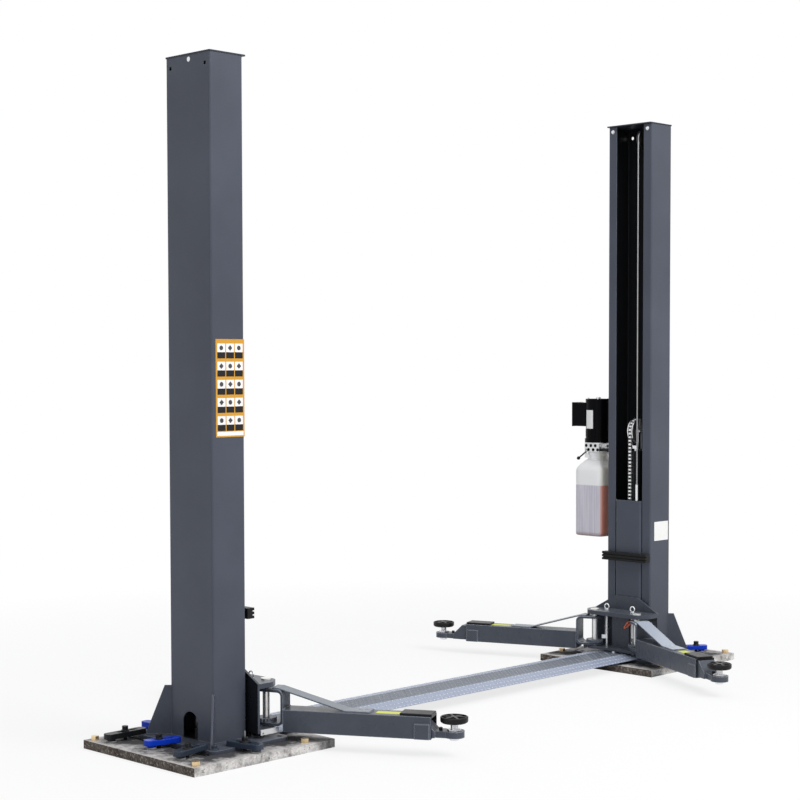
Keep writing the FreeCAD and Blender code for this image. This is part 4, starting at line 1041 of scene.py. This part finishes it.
def motor_details():
    """Cowl rim, blank label, screws and foot ribs of the motor, and the lid of its box."""
    centre, top = at(UNIT_X, UNIT_Y), 1.389
    cowl = [(0.0, 1.3730), (0.0695, 1.3730), (0.0705, 1.3740), (0.0705, 1.3880), (0.0695, top), (0.0, top)]
    piece("motor_cowl_rim", moved(turned_shape(cowl, 48), centre), "motor_black", smooth=True)
    label = []
    for z in (1.229, 1.329):
        label.append([(UNIT_X + r * math.cos(math.radians(a)), UNIT_Y + r * math.sin(math.radians(a)), z)
                      for r, turns in ((0.0694, range(148, 193, 4)), (0.0688, range(192, 147, -4)))
                      for a in turns])
    piece("motor_label", stacked(label), CARD_WHITE, smooth=True)
    bits = []
    for angle in (35, 125, 215, 305):
        a = math.radians(angle)
        head = turned_shape([(0.0, top), (0.0065, top), (0.0065, 1.3945), (0.005, 1.3955), (0.0, 1.3955)], 12)
        bits.append(moved(head, centre @ at(0.056 * math.cos(a), 0.056 * math.sin(a))))
    hub = turned_shape([(0.0, top), (0.014, top), (0.014, 1.3975), (0.010, 1.3995), (0.0, 1.3995)], 20)
    bits.append(moved(hub, centre))
    piece("motor_top_screws", joined(bits), "zinc_steel", smooth=True)
    ribs = []
    for i in range(18):
        turn = Matrix.Rotation(math.radians(20 * i + 5), 4, "Z")
        ribs.append(moved(block(0.0680, 0.0700, -0.0016, 0.0016, 1.183, 1.222), centre @ turn))
    piece("motor_foot_ribs", joined(ribs), "motor_black")
    x, back, face = UNIT_X, UNIT_Y + 0.143, UNIT_Y + 0.147 + 0.0015
    lid = block(x - 0.0465, x + 0.0465, back, face, 1.2385, 1.3695)
    piece("motor_box_lid", lid, "motor_black", bevel=0.0015)
    corners = [(x + a * 0.038, face, 1.304 + b * 0.056) for a in (-1, 1) for b in (-1, 1)]
    bolts("motor_box_screws", corners, (0.008, 0.002, 0.0055, 0.0008), turn=TO_FAR)


def pump_details():
    """Plugs and valves round the pump block, the plate over it, and the bolts of its bracket."""
    left, near, far = UNIT_X - 0.059, UNIT_Y - 0.049, UNIT_Y + 0.049
    z = (1.103 + 1.149) / 2
    spots = ((0.038, 0.011), (0.022, -0.011), (0.006, 0.011), (-0.010, -0.011), (-0.024, 0.011),
             (-0.040, -0.011))
    plugs = [(left, UNIT_Y + dy, z + dz) for dy, dz in spots]
    bolts("pump_plugs_side", plugs, (0.008, 0.002, 0.0085, 0.001), "motor_black", TO_LEFT)
    plugs = [(UNIT_X + dx, near, z + dz) for dx, dz in ((-0.040, 0.008), (-0.010, -0.008), (0.022, 0.008))]
    bolts("pump_plugs_near", plugs, (0.014, 0.006, 0.010, 0.0015), turn=TO_NEAR)
    valves = [(UNIT_X + dx, far, z + dz) for dx, dz in ((0.0, 0.0), (0.036, 0.004))]
    bolts("pump_valves_far", valves, (0.019, 0.024, 0.012, 0.003), turn=TO_FAR)
    rim = turned_shape([(0.0, 1.149), (0.0745, 1.149), (0.0745, 1.1535), (0.0, 1.1535)], 40)
    piece("pump_gasket_plate", moved(rim, at(UNIT_X, UNIT_Y)), "pump_aluminium", smooth=True)
    face = [(x, COLUMN_HALF + 0.008, z) for x in (UNIT_X - 0.036, UNIT_X + 0.036) for z in (1.100, 1.172)]
    bolts("bracket_bolts", face, (0.013, 0.006, 0.010, 0.0015), turn=TO_FAR)


# Arms, extensions, pads and locks

def arm_details(corner):
    """Rubber cover, end band and sticker on the tube's end, and the welds of web, strap and collar."""
    matrix = arm_matrix(corner)
    body = "arm_" + corner
    end, top, foot = ARM_END, ARM_TOP, ARM_FOOT
    lip, back = end + 0.0015, end - 0.090
    sheet = moved(block(end - 0.132, end + 0.002, -0.042, 0.042, top, top + 0.010), matrix)
    piece("arm_end_cover_" + corner, sheet, "rubber_black", body, bevel=0.003)
    out, within = ARM_HALF - 0.001, ARM_HALF - 0.0066
    band = [block(back, lip, side * within - 0.0004, side * within + 0.0004, foot + 0.010, top - 0.0066)
            for side in (-1, 1)]
    band += [block(end, lip, y0, y1, foot + 0.001, top) for y0, y1 in ((-out, -within), (within, out))]
    band += [block(end, lip, -within, within, top - 0.0064, top),
             block(back, end, -within, within, top - 0.0070, top - 0.0064)]
    piece("arm_end_band_" + corner, moved(joined(band), matrix), "rubber_black", body)
    sticker = moved(block(end - 0.238, end - 0.135, -0.022, 0.022, top, top + 0.0006), matrix)
    piece("arm_sticker_" + corner, sticker, STICKER_YELLOW, body)
    x, y, z = ARM_START, ARM_HALF, foot + 0.002
    web = z + 0.030
    lines = [[(x, -y, top), (x, y, top)], [(x, -y, web), (x, -y, top)], [(x, y, web), (x, y, top)]]
    x0, x1, strap = 0.352, 0.455, 0.0375
    lines += [[(x0, -strap, top), (x1, -strap, top), (x1, strap, top), (x0, strap, top)]]
    collar = end - 0.068
    for edge in (-y, y):
        lines += [[(collar, edge, z), (collar, edge, foot + 0.062), (collar + 0.062, edge, foot + 0.062)]]
    weld("arm_welds_" + corner, lines, matrix, 0.0028, "arm_paint", body)


def extension_details(corner):
    """Hexagon flange that the pad's stem turns in, a bush under it, and a stop screw on top beside it."""
    matrix = arm_matrix(corner)
    reach = ARM_REST[corner][1]
    body, top = "extension_" + corner, LUG_TOP
    hexagon = [(0.030 * math.cos(math.radians(60 * i)), 0.030 * math.sin(math.radians(60 * i)))
               for i in range(6)]
    levels = ((top, 0.94), (top + 0.001, 1.0), (top + 0.006, 1.0), (top + 0.007, 0.94))
    nut = stacked([[(x * scale, y * scale, z) for x, y in hexagon] for z, scale in levels])
    place = matrix @ at(reach, 0)
    piece("stem_nut_" + corner, moved(nut, place), "zinc_steel", body)
    bush = turned_shape([(0.0150, 0.0640), (0.0175, 0.0650), (0.0195, 0.0670), (0.0195, 0.0773),
                         (0.0150, 0.0773)], 32)
    piece("stem_bush_" + corner, moved(bush, place), "zinc_steel", body, smooth=True)
    screw = turned_shape([(0.0, top), (0.0080, top), (0.0080, top + 0.009), (0.0065, top + 0.011),
                          (0.0, top + 0.011)], 20)
    spot = matrix @ at(reach - 0.056, 0)
    piece("stop_screw_" + corner, moved(screw, spot), "black_paint", body, smooth=True)


def pad_piece(corner):
    """Rubber pad with a rim, a boss and spokes with hollows between, on a threaded stem."""
    place = arm_matrix(corner) @ at(ARM_REST[corner][1], 0)
    body, top = "pad_" + corner, PAD_TOP
    under = top - 0.026
    dish = [(0.0, under), (0.050, under), (0.0555, top - 0.022), (0.057, top - 0.017), (0.057, top - 0.003),
            (0.0555, top - 0.001), (0.052, top), (0.0505, top - 0.001), (0.0490, top - 0.009),
            (0.016, top - 0.009), (0.0145, top - 0.002), (0.013, top - 0.0005), (0.0, top - 0.0005)]
    rubber = piece("pad_rubber_" + corner, moved(turned_shape(dish, 40), place), "rubber_black", body,
                   smooth=True)
    grown("pad_ribs_" + corner, SPOKES, [place @ Vector((0, 0, top - 0.0050))], [],
          {"Count": 6, "Ring Radius": 0.0325, "Long": 0.037, "Thick": 0.010, "Rise": 0.0085}, "rubber_black",
          body)
    thread = [(0.0, 0.0713), (0.0135, 0.0713)]
    z, pitch = 0.0723, 0.0035
    while z < top - 0.029:
        thread += [(0.0158, z + 0.0006), (0.0158, z + 0.0013), (0.0142, z + 0.0022), (0.0142, z + 0.0028)]
        z += pitch
    thread += [(0.0150, under), (0.0, under)]
    piece("pad_stem_" + corner, moved(turned_shape(thread, 24), place), "zinc_steel", body, smooth=True)
    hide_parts("pad_" + corner)


def lock_details(corner):
    """Spring between the dog and the shelf, and a collar on the rod."""
    near, left = corner.startswith("near"), corner.endswith("left")
    x, y = (-LOCK_X if left else LOCK_X), (-LOCK_Y if near else LOCK_Y)
    body = "lock_" + corner
    foot, head = 0.1465, 0.2555
    spring = grown("lock_spring_" + corner, SPRINGS, [(x, y, foot + 0.001)], [],
                   {"Radius": 0.0095, "Wire": 0.0011, "Height": head - foot - 0.002, "Turns": 19.0},
                   "zinc_steel", body)
    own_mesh(spring)
    collar = [(0.0, 0.2775), (0.0125, 0.2775), (0.0125, 0.2815), (0.010, 0.2830), (0.010, 0.2870),
              (0.0, 0.2870)]
    piece("lock_collar_" + corner, moved(turned_shape(collar, 20), at(x, y)), "zinc_steel", body, smooth=True)


def ring_of(points, radius, count=8):
    """Round bar bent to a closed ring through the points, all in one plane."""
    middle = sum((Vector(p) for p in points), Vector()) / len(points)
    normal = (Vector(points[0]) - middle).cross(Vector(points[len(points) // 4]) - middle).normalized()
    rings = []
    for point in points:
        out = (Vector(point) - middle).normalized()
        rings.append([Vector(point) + radius * (math.cos(a) * out - math.sin(a) * normal)
                      for a in turns_of(count)])
    shape, faces = stacked(rings, closed_ends=False)
    last = (len(points) - 1) * count
    faces += [(last + i, last + (i + 1) % count, (i + 1) % count, i) for i in range(count)]
    return shape, faces


def pull_loop():
    """Stiff orange grip that leans on the yoke beside a lock."""
    middle = Vector((1.279, -0.0743, 0.2195))
    along, over = Vector((0.0122, -0.0125, 0.0195)), Vector((-0.0034, 0.0035, 0.0044))
    points = [middle + math.cos(a) * along + math.sin(a) * over for a in turns_of(28)]
    piece("lock_pull_loop", ring_of(points, 0.0050), CORD_ORANGE, "carriage_right", smooth=True)


def lever_tag():
    """Bare white tag on a thin loop at the lowering lever."""
    x, y, z = UNIT_X - 0.060, UNIT_Y + 0.036, 1.085
    tag = block(x - 0.0005, x + 0.0005, y - 0.011, y + 0.011, z - 0.014, z + 0.010)
    piece("lever_tag", tag, CARD_WHITE)
    points = [(x, y + 0.005 * math.cos(a), z + 0.021 + 0.012 * math.sin(a)) for a in turns_of(16)]
    piece("lever_tag_loop", ring_of(points, 0.0010, 6), CARD_BLACK, smooth=True)


# Floor anchors and slab clamps

def anchor_bolts():
    """Nut and washer of the one floor anchor set at each base plate's outer corner."""
    for side in ("right", "left"):
        spot = half_turn(side) @ Vector((ANCHOR_X, ANCHOR_Y, BASE_TOP))
        bolts("anchor_bolt_" + side, [spot], (0.024, 0.015, 0.019, 0.003), "slate_paint")


def clamp_trim():
    """Broad washers under two clamp nuts, a bare stud end, the clamps' heel discs and the packing strips."""
    low, high = BASE_TOP + 0.0222, BASE_TOP + 0.0262
    disc = turned_shape([(0.0, low), (0.0215, low), (0.0225, BASE_TOP + 0.0240), (0.0215, high),
                         (0.0, high)], 32)
    for i, (x, y) in enumerate(BROAD_WASHERS):
        piece("clamp_washer_%d" % i, moved(disc, at(x, y)), "black_paint", smooth=True)
    stud = turned_shape([(0.0, 0.092), (0.0034, 0.092), (0.0034, 0.116), (0.0028, 0.118), (0.0, 0.118)], 16)
    piece("clamp_stud_end", moved(stud, at(*BROAD_WASHERS[1])), "chain_steel", smooth=True)
    heel = turned_shape([(0.0, SLAB_TOP), (0.0205, SLAB_TOP), (0.0215, SLAB_TOP + 0.002),
                         (0.0215, SLAB_TOP + 0.005), (0.0200, SLAB_TOP + 0.007), (0.0, SLAB_TOP + 0.007)], 32)
    heels = [moved(heel, at(x, y)) for x, y in CLAMP_HEELS]
    piece("clamp_heel_discs", joined(heels), HEEL_STEEL, smooth=True)
    for side in ("right", "left"):
        strips = [block(x0, x0 + 0.005, -0.290, 0.235, SLAB_TOP, SLAB_TOP + 0.006) for x0 in (1.6500, 1.6640)]
        piece("packing_strips_" + side, moved(joined(strips), half_turn(side)), "black_paint", bevel=0.001)


equalizing_ropes()
lift_chains()
chequer()
placard()
column_bolts()
base_welds()
oil_tank()
motor_details()
pump_details()
lever_tag()
pull_loop()
anchor_bolts()
clamp_trim()
for corner in ARM_REST:
    arm_details(corner)
    extension_details(corner)
    pad_piece(corner)
    lock_details(corner)


# Stage, light and camera

def floor():
    mesh = bpy.data.meshes.new("floor")
    half, z = 40, -0.0005
    mesh.from_pydata([(-half, -half, z), (half, -half, z), (half, half, z), (-half, half, z)], [],
                     [(0, 1, 2, 3)])
    obj = bpy.data.objects.new("floor", mesh)
    bpy.context.scene.collection.objects.link(obj)
    material = bpy.data.materials.new("pale_floor")
    material.use_nodes = True
    tree = material.node_tree
    shader = tree.nodes["Principled BSDF"]
    shader.inputs["Base Color"].default_value = rgb(0.86, 0.86, 0.87)
    shader.inputs["Roughness"].default_value = 0.9
    glow = add(tree, "ShaderNodeEmission", {"Color": rgb(1, 1, 1), "Strength": 1.0})
    seen = add(tree, "ShaderNodeLightPath").outputs
    direct = maths(tree, "ADD", seen["Is Camera Ray"], seen["Is Glossy Ray"], clamp=True)
    spot = add(tree, "ShaderNodeTexCoord").outputs["Object"]
    distance = add(tree, "ShaderNodeVectorMath", {0: spot}, operation="LENGTH").outputs["Value"]
    away = add(tree, "ShaderNodeMapRange", {"Value": distance, "From Min": 1.5, "From Max": 4.5,
                                            "To Min": 0.78, "To Max": 1.0}).outputs[0]
    share = maths(tree, "MULTIPLY", direct, away)
    both = add(tree, "ShaderNodeMixShader", {0: share, 1: shader.outputs[0], 2: glow.outputs[0]})
    tree.links.new(both.outputs[0], tree.nodes["Material Output"].inputs["Surface"])
    mesh.materials.append(material)


def world():
    scene_world = bpy.data.worlds.new("studio")
    bpy.context.scene.world = scene_world
    scene_world.use_nodes = True
    tree = scene_world.node_tree
    soft = tree.nodes["Background"]
    soft.inputs["Color"].default_value = rgb(0.97, 0.98, 1.0)
    soft.inputs["Strength"].default_value = 0.36
    white = add(tree, "ShaderNodeBackground", {"Color": rgb(1, 1, 1), "Strength": 1.0})
    seen = add(tree, "ShaderNodeLightPath").outputs
    direct = maths(tree, "ADD", seen["Is Camera Ray"], seen["Is Transmission Ray"], clamp=True)
    direct = maths(tree, "ADD", direct, seen["Is Glossy Ray"], clamp=True)
    both = add(tree, "ShaderNodeMixShader", {0: direct, 1: soft.outputs[0], 2: white.outputs[0]})
    tree.links.new(both.outputs[0], tree.nodes["World Output"].inputs["Surface"])


def lamp(name, place, target, size, power, colour=(1, 1, 1)):
    data = bpy.data.lights.new(name, "AREA")
    data.size = size
    data.energy = power
    data.color = colour
    obj = bpy.data.objects.new(name, data)
    bpy.context.scene.collection.objects.link(obj)
    obj.location = place
    obj.rotation_euler = (Vector(target) - Vector(place)).to_track_quat("-Z", "Y").to_euler()


def camera():
    yaw, pitch, roll = math.radians(44.327), math.radians(2.596), math.radians(-0.088)
    ahead = Vector((math.cos(pitch) * math.cos(yaw), math.cos(pitch) * math.sin(yaw), -math.sin(pitch)))
    right = ahead.cross(Vector((0, 0, 1))).normalized()
    up = right.cross(ahead)
    turned_right = right * math.cos(roll) + up * math.sin(roll)
    turned_up = up * math.cos(roll) - right * math.sin(roll)
    data = bpy.data.cameras.new("camera")
    data.sensor_width = 36.0
    data.lens = 77.73
    data.shift_x = -0.01276
    data.shift_y = 0.05096
    data.clip_end = 200
    obj = bpy.data.objects.new("camera", data)
    bpy.context.scene.collection.objects.link(obj)
    turn = Matrix((turned_right, turned_up, -ahead)).transposed()
    obj.matrix_world = Matrix.Translation((-5.937, -5.534, 1.588)) @ turn.to_4x4()
    bpy.context.scene.camera = obj


floor()
world()
lamp("key", (0.4, -5.4, 6.0), (0.1, 0, 0.9), 4.0, 380, (1.0, 0.99, 0.98))
lamp("fill", (-6.5, -1.5, 3.0), (0, 0, 1.0), 4.0, 55, (0.93, 0.96, 1.0))
lamp("top", (0, 0, 6.0), (0, 0, 0), 6.0, 110)
camera()

scene = bpy.context.scene
scene.view_settings.view_transform = "Standard"
